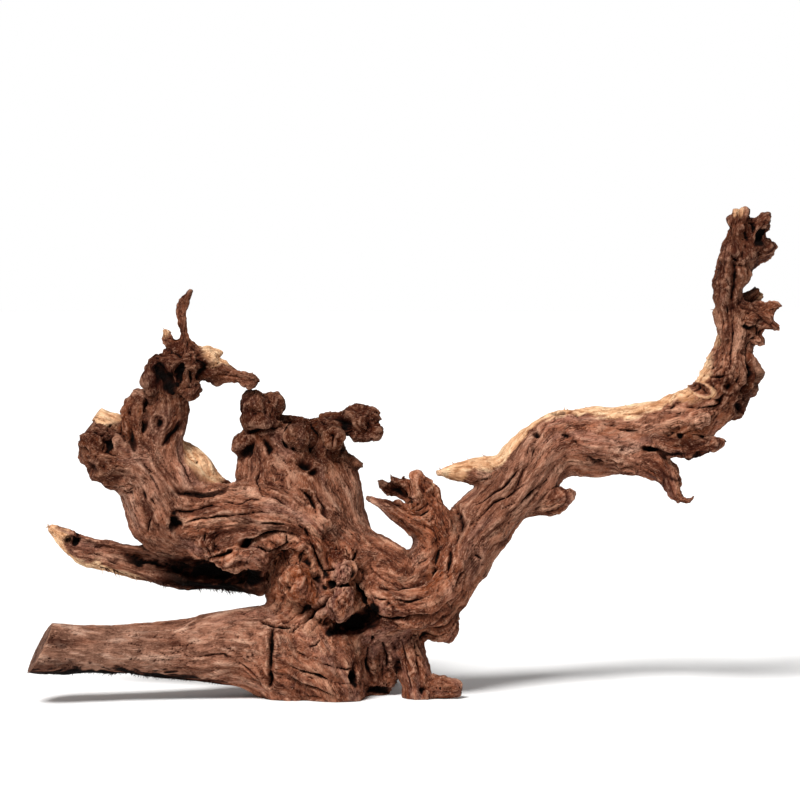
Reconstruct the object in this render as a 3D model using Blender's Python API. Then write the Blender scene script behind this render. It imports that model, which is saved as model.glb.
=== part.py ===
"""Aquarium driftwood: one weathered root, grown as a single piece and sawn flat underneath.

A smooth sawn log and a split, hollowed branch leave it on the left. Above them stand a burled crown with a
spike and a broad stump with two knobs. A long limb with a split upper face rises to the right and ends in a
forked mast. Strands of wood run from the roots into every limb, and the ridges follow them.

The tables are drawn on a grid of 750 to the overall length, x to the right, y to the back, z up from the
surface that the piece lies on. Each row is (x, y, z, radius). The origin is on the flat underside.
"""

import bpy
import bmesh
import numpy as np
from mathutils import Matrix, Vector

LENGTH = 0.563  # metres, from the sawn end of the log to the outermost tip of the mast
GRID = LENGTH / 750  # metres to one step of the tables' grid
MM = 0.001

PATH_STEP = 7.0  # grid steps between the rings of a strand
MASS_VOXEL = 2.6 * MM
WOOD_VOXEL = 2.0 * MM
MASS_SMOOTHING = 9
WOOD_SMOOTHING = 3
MOST_TRIANGLES = 11200
FLOOR = 3.0  # the height in the tables at which the underside is sawn flat
FLOOR_BLOCK = 0.9  # metres

# Strands that make the heavy body. The first value is the depth of the section over its width.
MASSES = {
    "log": (0.95, [(-342, -66, 63, 25), (-300, -55, 60, 25), (-260, -44, 56, 23.5), (-220, -32, 54, 26),
                   (-180, -20, 52, 31), (-150, -12, 53, 34.5), (-120, -6, 52, 39), (-88, -2, 48, 48),
                   (-55, 0, 42, 50), (-20, 5, 38, 40)]),
    "flare": (0.9, [(-116, -8, 46, 25), (-88, -16, 26, 23), (-72, -20, 6, 20), (-60, -20, -16, 20)]),
    "swirl": (0.75, [(-66, -16, 84, 14), (-48, -28, 64, 28), (-34, -30, 38, 34), (-24, -26, 12, 30),
                     (-18, -22, -18, 26)]),
    "heart": (0.85, [(-35, 8, -16, 49), (-38, 11, 40, 49), (-38, 14, 90, 54), (-38, 14, 140, 54),
                     (-52, 16, 190, 53), (-60, 16, 232, 50), (-62, 14, 258, 33)]),
    "stump_left": (0.9, [(-78, 8, 150, 38), (-88, 8, 205, 37), (-91, 4, 248, 30), (-98, 0, 276, 23)]),
    "stump_right": (0.9, [(-14, 8, 120, 28), (-20, 10, 172, 24), (-24, 12, 212, 27), (-34, 12, 250, 21),
                          (-32, 8, 270, 15)]),
    "bridge": (0.9, [(-105, 10, 271, 14), (-75, 14, 274, 13), (-45, 16, 273, 13), (-12, 10, 277, 12)]),
    "crown_stem": (0.78, [(-108, 6, 160, 34), (-145, 0, 178, 37), (-178, -6, 188, 42), (-195, -10, 212, 44),
                          (-203, -12, 238, 36), (-199, -13, 262, 26), (-190, -15, 287, 22), (-188, -18, 308, 20),
                          (-184, -20, 326, 20)]),
    "stem_heel": (0.9, [(-212, -6, 222, 27), (-216, -6, 196, 22), (-213, -4, 173, 19), (-200, 2, 156, 14)]),
    "upper_flow": (0.8, [(-38, -10, 168, 34), (-85, -16, 182, 33), (-130, -18, 188, 31), (-172, -12, 190, 32)]),
    "shoulder": (0.85, [(-20, -2, 154, 27), (12, -6, 144, 25), (36, -8, 130, 23), (54, -6, 110, 22)]),
    "right_limb": (0.85, [(-10, 5, 70, 40), (25, 2, 86, 40), (60, 2, 104, 38), (90, 5, 130, 34),
                          (114, 10, 165, 33), (141, 18, 194, 33), (167, 28, 226, 34), (196, 34, 252, 33),
                          (226, 36, 255, 35), (253, 33, 256, 35), (279, 26, 264, 31), (302, 17, 273, 27),
                          (326, 7, 278, 30), (347, -1, 289, 31), (359, -7, 306, 31), (366, -11, 328, 27),
                          (369, -14, 348, 20), (372, -17, 370, 20), (368, -19, 390, 18), (367, -21, 410, 16),
                          (371, -23, 430, 18), (374, -25, 450, 18)]),
    "shelf": (0.9, [(12, -8, 84, 20), (45, -12, 83, 20), (75, -10, 90, 19), (98, -2, 110, 20)]),
    "back_left": (0.9, [(-30, 48, 40, 24), (-48, 56, 100, 26), (-70, 50, 160, 26), (-84, 38, 215, 22)]),
    "back_right": (0.9, [(0, 42, 60, 24), (6, 48, 115, 24), (-10, 42, 165, 20), (-20, 32, 215, 20)]),
    "rear_root_left": (0.9, [(-50, 30, 60, 30), (-62, 64, 34, 24), (-74, 98, 8, 19), (-80, 112, -18, 18)]),
    "rear_root_right": (0.9, [(12, 24, 52, 22), (18, 58, 26, 18), (24, 92, 4, 15), (26, 104, -18, 14)]),
}

# Branches, roots and folds that join the body with a tighter crease.
BRANCHES = {
    "split_branch": (0.85, [(-96, 6, 124, 20), (-140, 12, 127, 19), (-170, 15, 128, 20), (-200, 18, 133, 20),
                            (-237, 23, 138, 17.5), (-262, 27, 143, 16.5), (-280, 30, 147, 16), (-298, 33, 159, 12),
                            (-308, 35, 166, 8), (-316, 36, 170, 5)]),
    "pale_shoulder": (0.9, [(-192, 0, 260, 9), (-177, 0, 244, 17), (-164, 0, 231, 18), (-149, 2, 218, 13),
                            (-130, 6, 211, 8)]),
    "burl_arm": (0.9, [(-205, -12, 236, 28), (-230, -18, 248, 28), (-252, -24, 252, 26)]),
    "sawn_stub": (0.8, [(-226, 0, 262, 17), (-244, 4, 273, 15), (-267, 10, 285, 10)]),
    "torn_lobe": (0.6, [(-212, -14, 262, 19), (-224, -18, 280, 17), (-223, -18, 296, 12), (-216, -18, 306, 6)]),
    "spike": (0.9, [(-170, -20, 348, 15), (-174, -22, 363, 12), (-175, -25, 378, 9.5), (-175, -28, 392, 8.5),
                    (-171, -30, 402, 7), (-166, -30, 414, 4)]),
    "crown_flags": (0.7, [(-182, -18, 350, 11), (-190, -18, 363, 7), (-196, -19, 374, 3.5)]),
    "pale_knob": (0.9, [(-164, -16, 334, 18), (-150, -12, 339, 18), (-140, -10, 341, 16)]),
    "crown_twig": (1.0, [(-148, -14, 332, 12), (-132, -18, 329, 9.5), (-120, -22, 326, 10), (-109, -26, 323, 8.5),
                         (-99, -30, 322, 6)]),
    "crown_flake": (0.5, [(-203, -30, 342, 5), (-206, -32, 326, 6), (-206, -28, 312, 5), (-204, -22, 300, 4)]),
    "knob_arm": (0.9, [(-40, 8, 275, 14), (-18, 0, 276, 14), (2, -8, 275, 15)]),
    "knob_fin": (0.6, [(-20, 2, 277, 9), (-6, 0, 286, 9), (3, 0, 297, 5)]),
    "stump_flake": (0.8, [(-96, -6, 262, 14), (-114, -4, 256, 12), (-125, -2, 249, 7)]),
    "stump_thorn": (0.8, [(-24, 8, 242, 13), (-6, 6, 237, 7), (4, 6, 234, 3.5)]),
    "lip": (0.9, [(-160, -18, 160, 17), (-136, -26, 148, 13), (-112, -24, 151, 17), (-90, -14, 142, 18)]),
    "fork": (0.85, [(60, -6, 118, 28), (75, -8, 150, 22), (73, -8, 176, 22), (68, -8, 198, 16),
                    (60, -8, 214, 10), (53, -8, 230, 5)]),
    "fork_prong": (0.9, [(76, -12, 168, 16), (54, -18, 182, 14), (33, -22, 195, 11), (19, -24, 201, 8.5),
                         (7, -24, 202, 5)]),
    "fork_rim": (0.6, [(66, 2, 194, 14), (48, 6, 208, 11), (33, 8, 215, 8.5), (18, 10, 218, 5)]),
    "swirl_band": (0.9, [(10, -20, 124, 15), (34, -30, 104, 17), (64, -30, 103, 17), (86, -22, 124, 17),
                         (96, -14, 150, 16), (106, -4, 176, 14)]),
    "lower_band": (0.9, [(0, -20, 98, 12), (30, -30, 88, 11), (58, -30, 86, 11), (84, -18, 100, 13)]),
    "hanging_lobe": (0.9, [(82, -6, 92, 18), (80, -6, 73, 17), (79, -5, 60, 12)]),
    "right_foot": (0.9, [(38, 0, 88, 20), (47, -6, 62, 18), (51, -10, 40, 16), (57, -14, 18, 16),
                         (60, -16, -18, 18)]),
    "toe": (0.8, [(60, -14, 14, 13), (78, -18, 15, 12), (90, -20, 14, 11), (100, -22, 12, 7)]),
    "middle_root": (0.9, [(4, 2, 66, 22), (7, 4, 44, 20), (8, 8, 24, 17), (8, 12, 8, 13), (8, 18, -14, 12)]),
    "inner_root": (0.9, [(26, -6, 76, 16), (28, -4, 54, 14), (27, 0, 36, 12), (22, 6, 20, 11), (18, 10, 4, 12),
                         (18, 12, -14, 12)]),
    "pale_tip": (0.7, [(152, 22, 222, 23), (126, 14, 227, 16), (106, 8, 228, 12), (92, 4, 228, 9),
                       (76, 0, 228, 4.5)]),
    "limb_stub": (0.9, [(164, 20, 196, 19), (190, 16, 197, 16), (208, 12, 200, 13), (220, 10, 205, 7)]),
    "drooping_twig": (0.9, [(262, 20, 240, 21), (286, 12, 237, 16), (306, 4, 230, 13), (313, -2, 216, 10),
                            (315, -6, 205, 9), (324, -10, 200, 8), (332, -12, 203, 6.5), (334, -12, 210, 3)]),
    "ragged_keel": (0.8, [(298, 6, 262, 9), (314, -2, 256, 13), (334, -6, 257, 13), (352, -10, 260, 11),
                          (369, -14, 262, 5)]),
    "mast_left_tip": (0.9, [(373, -25, 448, 16), (371, -27, 467, 13.5), (375, -28, 480, 12.5),
                            (378, -29, 495, 6)]),
    "mast_right_tip": (0.9, [(377, -24, 446, 15), (388, -24, 462, 12), (398, -25, 476, 12), (408, -26, 480, 10)]),
    "mast_rear_tip": (0.9, [(374, -21, 436, 12), (390, -17, 447, 11.5), (402, -14, 455, 10), (409, -12, 464, 6)]),
    "side_branch": (0.9, [(370, -18, 376, 15), (386, -22, 386, 15), (400, -24, 386, 14), (410, -25, 377, 8),
                          (417, -26, 373, 5)]),
    "side_finger": (0.9, [(398, -24, 392, 11), (409, -26, 395, 8), (420, -28, 396, 5)]),
    "side_stub": (0.9, [(372, -10, 388, 13), (388, -5, 402, 11), (400, -2, 411, 9)]),
    "side_spur": (0.9, [(372, -16, 362, 14), (390, -20, 367, 12.5), (401, -22, 360, 7)]),
    "curl": (0.8, [(370, -8, 348, 10), (378, -6, 341, 8), (380, -8, 327, 8), (374, -10, 312, 8),
                   (368, -8, 300, 10)]),
    "back_stub": (0.9, [(-56, 40, 205, 22), (-64, 68, 222, 17), (-72, 94, 238, 14), (-76, 110, 246, 12)]),
    "back_fold": (0.9, [(40, 26, 100, 20), (72, 36, 128, 20), (104, 40, 168, 20), (132, 42, 202, 18)]),
}

# Burls: a knot of rounded lumps. Each row is (x, y, z, radius).
BURLS = [
    (-260, -25, 263, 19), (-259, -20, 270, 13), (-257, -28, 241, 17), (-224, -22, 286, 14), (-180, -20, 334, 22),
    (-167, -34, 316, 11), (-107, -4, 286, 19), (-90, -8, 298, 12), (6, -10, 274, 16), (-60, -16, 262, 16),
    (-26, -16, 260, 15), (369, -9, 290, 14), (372, -8, 322, 14), (341, -16, 284, 14), (-17, -38, 132, 13),
    (-20, -40, 106, 17), (-64, -32, 126, 20), (-150, -26, 156, 13), (-20, 62, 140, 18), (402, -25, 480, 9),
    (375, -26, 463, 12), (-95, 48, 180, 18), (200, 48, 262, 15),
]
BURL_LUMPS = 16
BURL_SEED = 7

# Hollows, cut with strands of their own. The first value is again the depth of the section over its width.
HOLLOWS = {
    "cavity": (1.7, [(-30, -36, 72, 7), (-12, -36, 79, 12), (6, -34, 84, 15), (14, -28, 94, 9)]),
    "trough": (0.75, [(-300, 20, 160, 5), (-280, 15, 153, 9), (-250, 10, 146, 12), (-220, 4, 139, 13),
                      (-185, -2, 133, 14), (-150, -8, 129, 15), (-112, -12, 128, 14)]),
    "burl_mouth": (1.5, [(-205, -36, 335, 8), (-198, -36, 324, 11), (-187, -36, 316, 8)]),
    "burl_slot": (1.6, [(-182, -42, 342, 4), (-181, -42, 333, 5), (-183, -40, 322, 5)]),
    "burl_eye": (1.6, [(-172, -42, 335, 4), (-166, -42, 331, 4.5)]),
    "fork_mouth": (0.9, [(24, -6, 226, 6), (40, -6, 210, 7), (52, -6, 197, 6)]),
    "mast_pit": (1.4, [(402, -36, 466, 5), (396, -34, 460, 6)]),
    "foot_gap": (1.0, [(33, -70, 13, 5), (33, 0, 13, 6), (33, 40, 13, 5)]),
    "stem_pit": (1.6, [(-184, -46, 190, 4), (-180, -42, 180, 5)]),
    "rear_cavity": (1.4, [(-60, 72, 96, 8), (-46, 72, 78, 12), (-34, 72, 60, 9)]),
    "swirl_gap": (1.4, [(-6, -50, 44, 3.5), (-5, -46, 30, 5), (-2, -40, 16, 4)]),
}

# The saw cuts: a point on the plane, the way that the sawn face looks and how far the cut reaches.
SAW_CUTS = {
    "log_end": ((-315, -58, 58), (-0.84, -0.30, 0.44), 96),
    "stub_end": ((-264, 8, 286), (-0.80, -0.10, 0.60), 44),
}

# Open cracks on the front, drawn as (x, z), with their half width and depth.
CRACKS = [
    (1.9, 8, [(-53, 178), (-50, 164), (-44, 148), (-36, 133), (-29, 122), (-30, 112), (-42, 96), (-56, 80)]),
    (1.8, 7, [(-33, 130), (-20, 139), (-8, 142), (-5, 152)]),
    (2.0, 8, [(-9, 140), (-7, 126), (1, 110), (9, 100)]),
    (1.8, 6, [(-88, 76), (-90, 56), (-94, 40), (-90, 28), (-88, 14)]),
    (1.5, 5, [(-104, 78), (-86, 77), (-68, 76)]),
    (2.0, 7, [(18, 118), (36, 116), (56, 118), (70, 126), (77, 142), (82, 156)]),
    (2.0, 6, [(34, 72), (56, 75), (80, 74)]),
    (1.8, 6, [(100, 180), (103, 168), (101, 156)]),
    (1.8, 6, [(-206, 206), (-200, 196), (-207, 184), (-211, 170)]),
    (2.2, 7, [(-128, 152), (-112, 160), (-96, 166)]),
    (2.0, 6, [(-112, 270), (-92, 269), (-72, 275)]),
    (2.2, 7, [(-52, 244), (-46, 256), (-48, 272)]),
]

RIDGE_WIDTH = 15.0  # grid steps across one ridge
RIDGE_RUN = 8.0  # how much longer a ridge runs than it is wide
RIDGE_HEIGHT = 5.0
LUMP_WIDTH = 34.0
LUMP_HEIGHT = 4.0
GRAIN_WANDER = 11.0  # how far the grain strays sideways

WOOD_COLOR = (0.245, 0.118, 0.076, 1.0)
WOOD_ROUGHNESS = 0.72


def clear_scene():
    for obj in list(bpy.data.objects):
        bpy.data.objects.remove(obj)


def linked(name, data):
    obj = bpy.data.objects.new(name, data)
    bpy.context.scene.collection.objects.link(obj)
    return obj


def object_of(name, mesh):
    """An object that takes over a bmesh."""
    data = bpy.data.meshes.new(name)
    mesh.to_mesh(data)
    mesh.free()
    return linked(name, data)


def smooth_path(rows):
    """Points on a Catmull-Rom curve through the rows, about PATH_STEP apart, with their radii."""
    rows = np.array(rows, float)
    padded = np.vstack([2 * rows[0] - rows[1], rows, 2 * rows[-1] - rows[-2]])
    padded[[0, -1], 3] = rows[[0, -1], 3]
    found = []
    for a, b, c, d in zip(padded, padded[1:], padded[2:], padded[3:]):
        count = max(2, int(np.ceil(np.linalg.norm(c[:3] - b[:3]) / PATH_STEP)))
        t = np.linspace(0, 1, count, endpoint=False)[:, None]
        found.append(0.5 * (2 * b + (c - a) * t + (2 * a - 5 * b + 4 * c - d) * t**2
                            + (3 * b - a - 3 * c + d) * t**3))
    path = np.vstack([*found, rows[-1:]])
    path[:, 3] = np.maximum(path[:, 3], 1.5)
    return path


def strand(name, depth, rows):
    """A round strand along a smooth path, as a bevelled curve, with its section squashed along y."""
    curve = bpy.data.curves.new(name, "CURVE")
    curve.dimensions = "3D"
    curve.bevel_depth = 1.0
    curve.bevel_resolution = 5
    curve.use_fill_caps = True
    path = smooth_path(rows) * GRID
    spline = curve.splines.new("POLY")
    spline.points.add(len(path) - 1)
    for point, (x, y, z, radius) in zip(spline.points, path):
        point.co = (x, y / depth, z, 1)
        point.radius = radius
    obj = linked(name, curve)
    obj.scale = (1, depth, 1)
    return obj


def ball(mesh, centre, radius):
    place = Matrix.Translation(Vector(centre)) @ Matrix.Scale(radius, 4)
    bmesh.ops.create_icosphere(mesh, subdivisions=2, radius=1.0, matrix=place)


def burl(place, radius, random):
    """A core with lumps spread evenly over it, each a little off its even place."""
    turn = np.pi * (3 - np.sqrt(5))
    mesh = bmesh.new()
    ball(mesh, place, radius * 0.86)
    for k in range(BURL_LUMPS):
        height = 1 - 2 * (k + 0.5) / BURL_LUMPS
        flat = np.sqrt(1 - height**2)
        way = np.array((flat * np.cos(turn * k), flat * np.sin(turn * k), height)) + random.normal(0, 0.16, 3)
        ball(mesh, place + way * radius * 0.72, radius * random.uniform(0.26, 0.42))
    return object_of("burl", mesh)


def evaluated_mesh(obj):
    graph = bpy.context.evaluated_depsgraph_get()
    data = bpy.data.meshes.new_from_object(obj.evaluated_get(graph), depsgraph=graph)
    data.transform(obj.matrix_world)
    return data


def joined(name, objects):
    """One mesh object that holds what these objects show. They are removed."""
    bpy.context.view_layer.update()
    mesh = bmesh.new()
    for obj in objects:
        mesh.from_mesh(evaluated_mesh(obj))
    for obj in objects:
        bpy.data.objects.remove(obj)
    return object_of(name, mesh)


def baked(obj):
    """The object with its modifiers applied."""
    bpy.context.view_layer.update()
    data = evaluated_mesh(obj)
    obj.modifiers.clear()
    obj.data = data
    return obj


def fused(obj, voxel, smoothing):
    """Overlapping shells become one skin of even cells, and the creases between them are eased."""
    remesh = obj.modifiers.new("fuse", "REMESH")
    remesh.mode = "VOXEL"
    remesh.voxel_size = voxel
    ease = obj.modifiers.new("ease", "SMOOTH")
    ease.factor = 0.5
    ease.iterations = smoothing
    return baked(obj)


def block(name, point, way, size):
    """A block whose near face is centred on point and looks the other way from way."""
    way = Vector(way).normalized()
    turn = way.to_track_quat("Z", "Y").to_matrix().to_4x4()
    place = Matrix.Translation(Vector(point) + way * size / 2) @ turn
    mesh = bmesh.new()
    bmesh.ops.create_cube(mesh, size=size, matrix=place)
    return object_of(name, mesh)


def cut(obj, cutter):
    """The object less its cutter, which is removed."""
    boolean = obj.modifiers.new("cut", "BOOLEAN")
    boolean.operation = "DIFFERENCE"
    boolean.object = cutter
    baked(obj)
    bpy.data.objects.remove(cutter)
    return obj


def lattice_value(cell, seed):
    """A repeatable number from -1 to 1 for each whole-number point, from integer hashing."""
    mixed = (cell[..., 0] * 374761393 + cell[..., 1] * 668265263 + cell[..., 2] * 2147483647
             + seed * 1274126177) & 0xFFFFFFFF
    mixed = ((mixed ^ (mixed >> 13)) * 1274126177) & 0xFFFFFFFF
    mixed = mixed ^ (mixed >> 16)
    return (mixed & 0xFFFF) / 32767.5 - 1.0


def noise(points, seed):
    """Value noise: the eight lattice numbers round each point, mixed by a quintic ease."""
    base = np.floor(points).astype(np.int64)
    part = points - base
    ease = part**3 * (part * (part * 6 - 15) + 10)
    total = np.zeros(len(points))
    for corner in np.ndindex(2, 2, 2):
        share = np.prod(np.where(corner, ease, 1 - ease), axis=1)
        total += share * lattice_value(base + corner, seed)
    return total


def grain_samples():
    """Points down every strand's centreline: place, radius, length so far, and axes along, across and deep."""
    rows = []
    for depth, points in [*MASSES.values(), *BRANCHES.values()]:
        path = smooth_path(points)[::2]
        along = np.gradient(path[:, :3], axis=0)
        along /= np.linalg.norm(along, axis=1)[:, None]
        upright = np.where(np.abs(along[:, 1:2]) > 0.9, (1.0, 0.0, 0.0), (0.0, 1.0, 0.0))
        across = np.cross(along, upright)
        across /= np.linalg.norm(across, axis=1)[:, None]
        deep = np.cross(across, along)
        steps = np.linalg.norm(np.diff(path[:, :3], axis=0), axis=1)
        run = np.concatenate([[0.0], np.cumsum(steps)])
        rows.append(np.column_stack([path, run, along, across, deep]))
    return np.vstack(rows)


def grain_coordinates(points):
    """How far each point is along its strand, across it and deep in it, in grid steps, blended between strands."""
    samples = grain_samples()
    found = np.zeros((len(points), 3))
    for start in range(0, len(points), 4000):
        chunk = points[start:start + 4000]
        offset = chunk[:, None, :] - samples[None, :, :3]
        near = (offset**2).sum(2) / samples[:, 3] ** 2
        weight = np.exp(-3.5 * (near - near.min(axis=1)[:, None]))
        weight /= weight.sum(axis=1)[:, None]
        run = samples[:, 4] + np.einsum("psk,sk->ps", offset, samples[:, 5:8])
        across = np.einsum("psk,sk->ps", offset, samples[:, 8:11])
        deep = np.einsum("psk,sk->ps", offset, samples[:, 11:14])
        for axis, value in enumerate((run, across, deep)):
            found[start:start + 4000, axis] = (weight * value).sum(axis=1)
    return found


def ridge_relief(points):
    """Height of the ridges: the size of a noise that is drawn out along the grain, so creases are sharp."""
    grain = grain_coordinates(points)
    stray = np.column_stack([noise(points / 60, 11), noise(points / 60, 12)]) * GRAIN_WANDER
    laid = np.column_stack([grain[:, 0] / RIDGE_RUN, grain[:, 1:] + stray]) / RIDGE_WIDTH
    ridge = np.minimum(np.abs(noise(laid, 21)) * 2.2, 1.0)
    lump = noise(points / LUMP_WIDTH, 31)
    return RIDGE_HEIGHT * (ridge - 0.5) + LUMP_HEIGHT * lump


def crack_relief(points, normals):
    """Depth of the open cracks: a bell curve of the distance to the crack's line, on faces that look forward."""
    depth = np.zeros(len(points))
    flat = points[:, [0, 2]]
    for width, deep, line in CRACKS:
        line = np.array(line, float)
        for a, b in zip(line, line[1:]):
            t = np.clip((flat - a) @ (b - a) / ((b - a) @ (b - a)), 0, 1)
            away = np.linalg.norm(flat - a - t[:, None] * (b - a), axis=1)
            depth = np.maximum(depth, deep * np.exp(-((away / width) ** 2)))
    return depth * np.clip(-normals[:, 1] * 2, 0, 1)


def calm(points):
    """How quiet the surface is: the sawn log is smooth, and everything else is ridged."""
    return np.clip((-95 - points[:, 0]) / 60, 0, 1) * np.clip((95 - points[:, 2]) / 12, 0, 1)


def sculpt(obj):
    """Moves each vertex along its normal by the ridges and the cracks."""
    data = obj.data
    places = np.empty(len(data.vertices) * 3)
    normals = np.empty(len(data.vertices) * 3)
    data.vertices.foreach_get("co", places)
    data.vertex_normals.foreach_get("vector", normals)
    places = places.reshape(-1, 3)
    normals = normals.reshape(-1, 3)
    points = places / GRID
    height = ridge_relief(points) * (1 - 0.85 * calm(points)) - crack_relief(points, normals)
    places += normals * height[:, None] * GRID
    data.vertices.foreach_set("co", places.ravel())
    data.update()


def lightened(obj):
    """Fewer faces where the surface is plain."""
    obj.data.calc_loop_triangles()
    fewer = obj.modifiers.new("fewer", "DECIMATE")
    fewer.ratio = MOST_TRIANGLES / len(obj.data.loop_triangles)
    return baked(obj)


def wood_material():
    material = bpy.data.materials.new("driftwood")
    material.use_nodes = True
    shader = material.node_tree.nodes["Principled BSDF"]
    shader.inputs["Base Color"].default_value = WOOD_COLOR
    shader.inputs["Roughness"].default_value = WOOD_ROUGHNESS
    return material


def strands(table):
    return [strand(name, *row) for name, row in table.items()]


def all_burls():
    random = np.random.default_rng(BURL_SEED)
    return [burl(np.array(row[:3]) * GRID, row[3] * GRID, random) for row in BURLS]


def driftwood():
    body = fused(joined("body", strands(MASSES)), MASS_VOXEL, MASS_SMOOTHING)
    wood = joined("driftwood", [body, *all_burls(), *strands(BRANCHES)])
    fused(wood, WOOD_VOXEL, WOOD_SMOOTHING)
    cut(wood, fused(joined("hollows", strands(HOLLOWS)), WOOD_VOXEL, 0))
    fused(wood, WOOD_VOXEL, 1)
    sculpt(wood)
    fused(wood, WOOD_VOXEL, 1)
    lightened(wood)
    for name, (point, way, reach) in SAW_CUTS.items():
        cut(wood, block(name, Vector(point) * GRID, way, reach * GRID))
    wood.data.transform(Matrix.Translation((0, 0, -FLOOR * GRID)))
    cut(wood, block("floor", (0, 0, 0), (0, 0, -1), FLOOR_BLOCK))
    wood.data.materials.clear()
    wood.data.materials.append(wood_material())
    wood.data.shade_smooth()
    return wood


clear_scene()
driftwood()
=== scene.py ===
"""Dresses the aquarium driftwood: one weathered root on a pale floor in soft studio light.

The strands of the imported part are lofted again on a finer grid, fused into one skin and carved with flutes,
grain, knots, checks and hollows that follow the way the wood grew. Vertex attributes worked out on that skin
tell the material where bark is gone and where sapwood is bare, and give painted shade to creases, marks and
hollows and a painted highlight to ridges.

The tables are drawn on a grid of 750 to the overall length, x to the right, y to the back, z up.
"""

import bpy
import numpy as np
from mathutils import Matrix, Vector


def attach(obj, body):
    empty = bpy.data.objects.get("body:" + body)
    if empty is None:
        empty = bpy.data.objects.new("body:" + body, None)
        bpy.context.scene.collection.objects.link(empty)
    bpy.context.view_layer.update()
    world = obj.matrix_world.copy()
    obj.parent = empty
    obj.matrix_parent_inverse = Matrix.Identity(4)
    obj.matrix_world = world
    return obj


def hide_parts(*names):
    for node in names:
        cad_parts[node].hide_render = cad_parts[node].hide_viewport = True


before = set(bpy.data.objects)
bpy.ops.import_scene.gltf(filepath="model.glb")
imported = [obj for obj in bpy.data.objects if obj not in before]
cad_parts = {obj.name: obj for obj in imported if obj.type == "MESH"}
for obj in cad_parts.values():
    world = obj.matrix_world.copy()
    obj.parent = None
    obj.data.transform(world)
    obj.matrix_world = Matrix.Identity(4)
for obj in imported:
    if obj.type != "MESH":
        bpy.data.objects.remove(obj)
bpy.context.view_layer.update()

bl_info = {
    "name": "Aquarium Driftwood",
    "version": (1, 0, 0),
    "blender": (4, 5, 0),
    "location": "View3D > Sidebar > Driftwood",
    "description": "Builds the finished surface of a driftwood root, its loose fibres and a small studio",
    "category": "Object",
}

# The root's length in metres, one step of the grid in metres, and the height of the floor in grid steps.
LENGTH = 0.563
GRID = LENGTH / 750
FLOOR = 3.0
MM = 0.001

# Strands that make the heavy body: the depth of the section over its width, then rows of x, y, z and radius.
MASSES = {
    "log": (0.95, [(-342, -66, 61, 25.5), (-300, -55, 57.5, 26), (-260, -44, 55, 24.5),
        (-220, -32, 54, 26.5), (-180, -20, 52, 31), (-150, -12, 53, 34.5), (-120, -6, 52, 39),
        (-88, -2, 48, 48), (-55, 0, 42, 50), (-20, 5, 38, 40)]),
    "flare": (0.9, [(-116, -8, 46, 25), (-88, -16, 26, 23), (-72, -20, 6, 20), (-60, -20, -16, 20)]),
    "swirl": (0.75, [(-66, -16, 84, 14), (-48, -28, 64, 28), (-34, -30, 38, 34), (-24, -26, 12, 30),
        (-18, -22, -18, 26)]),
    "heart": (0.85, [(-35, 8, -16, 49), (-38, 11, 40, 49), (-38, 14, 90, 54), (-38, 14, 140, 54),
        (-52, 16, 190, 53), (-60, 16, 232, 50), (-62, 14, 258, 33)]),
    "stump_left": (0.9, [(-78, 8, 150, 38), (-88, 8, 205, 37), (-91, 4, 248, 30), (-98, 0, 276, 23)]),
    "stump_right": (0.9, [(-14, 8, 120, 28), (-20, 10, 172, 24), (-24, 12, 212, 27), (-34, 12, 250, 21),
        (-32, 8, 270, 15)]),
    "bridge": (0.9, [(-105, 10, 271, 14), (-75, 14, 274, 13), (-45, 16, 273, 13), (-12, 10, 277, 12)]),
    "crown_stem": (0.78, [(-108, 6, 160, 34), (-145, 0, 178, 37), (-178, -6, 188, 42), (-195, -10, 212, 44),
        (-203, -12, 238, 36), (-199, -13, 262, 26), (-190, -15, 287, 22), (-188, -18, 308, 20),
        (-184, -20, 326, 20)]),
    "stem_heel": (0.9, [(-212, -6, 222, 27), (-216, -6, 196, 22), (-213, -4, 173, 19), (-200, 2, 156, 14)]),
    "upper_flow": (0.8, [(-38, -10, 168, 34), (-85, -16, 182, 33), (-130, -18, 188, 31),
        (-172, -12, 190, 32)]),
    "shoulder": (0.85, [(-20, -2, 154, 27), (12, -6, 144, 25), (36, -8, 130, 23), (54, -6, 110, 22)]),
    "right_limb": (0.85, [(-10, 5, 70, 40), (25, 2, 86, 40), (60, 2, 104, 38), (90, 5, 130, 34),
        (114, 10, 165, 33), (141, 18, 194, 33), (167, 28, 226, 34), (196, 34, 252, 33), (226, 36, 255, 35),
        (253, 33, 256, 35), (279, 26, 264, 31), (302, 17, 273, 27), (326, 7, 279, 28.5), (346, -1, 291, 28),
        (359, -7, 307, 28.5), (366, -11, 328, 26), (369, -14, 348, 20), (372, -17, 370, 20),
        (368, -19, 390, 18), (367, -21, 410, 16), (371, -23, 430, 18), (374, -25, 450, 18)]),
    "shelf": (0.9, [(12, -8, 84, 20), (45, -12, 83, 20), (75, -10, 90, 19), (98, -2, 110, 20)]),
    "back_left": (0.9, [(-30, 48, 40, 24), (-48, 56, 100, 26), (-70, 50, 160, 26), (-84, 38, 215, 22)]),
    "back_right": (0.9, [(0, 42, 60, 24), (6, 48, 115, 24), (-10, 42, 165, 20), (-20, 32, 215, 20)]),
    "rear_root_left": (0.9, [(-50, 30, 60, 30), (-62, 64, 34, 24), (-74, 98, 8, 19), (-80, 112, -18, 18)]),
    "rear_root_right": (0.9, [(12, 24, 52, 22), (18, 58, 26, 18), (24, 92, 4, 15), (26, 104, -18, 14)]),
}

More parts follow.
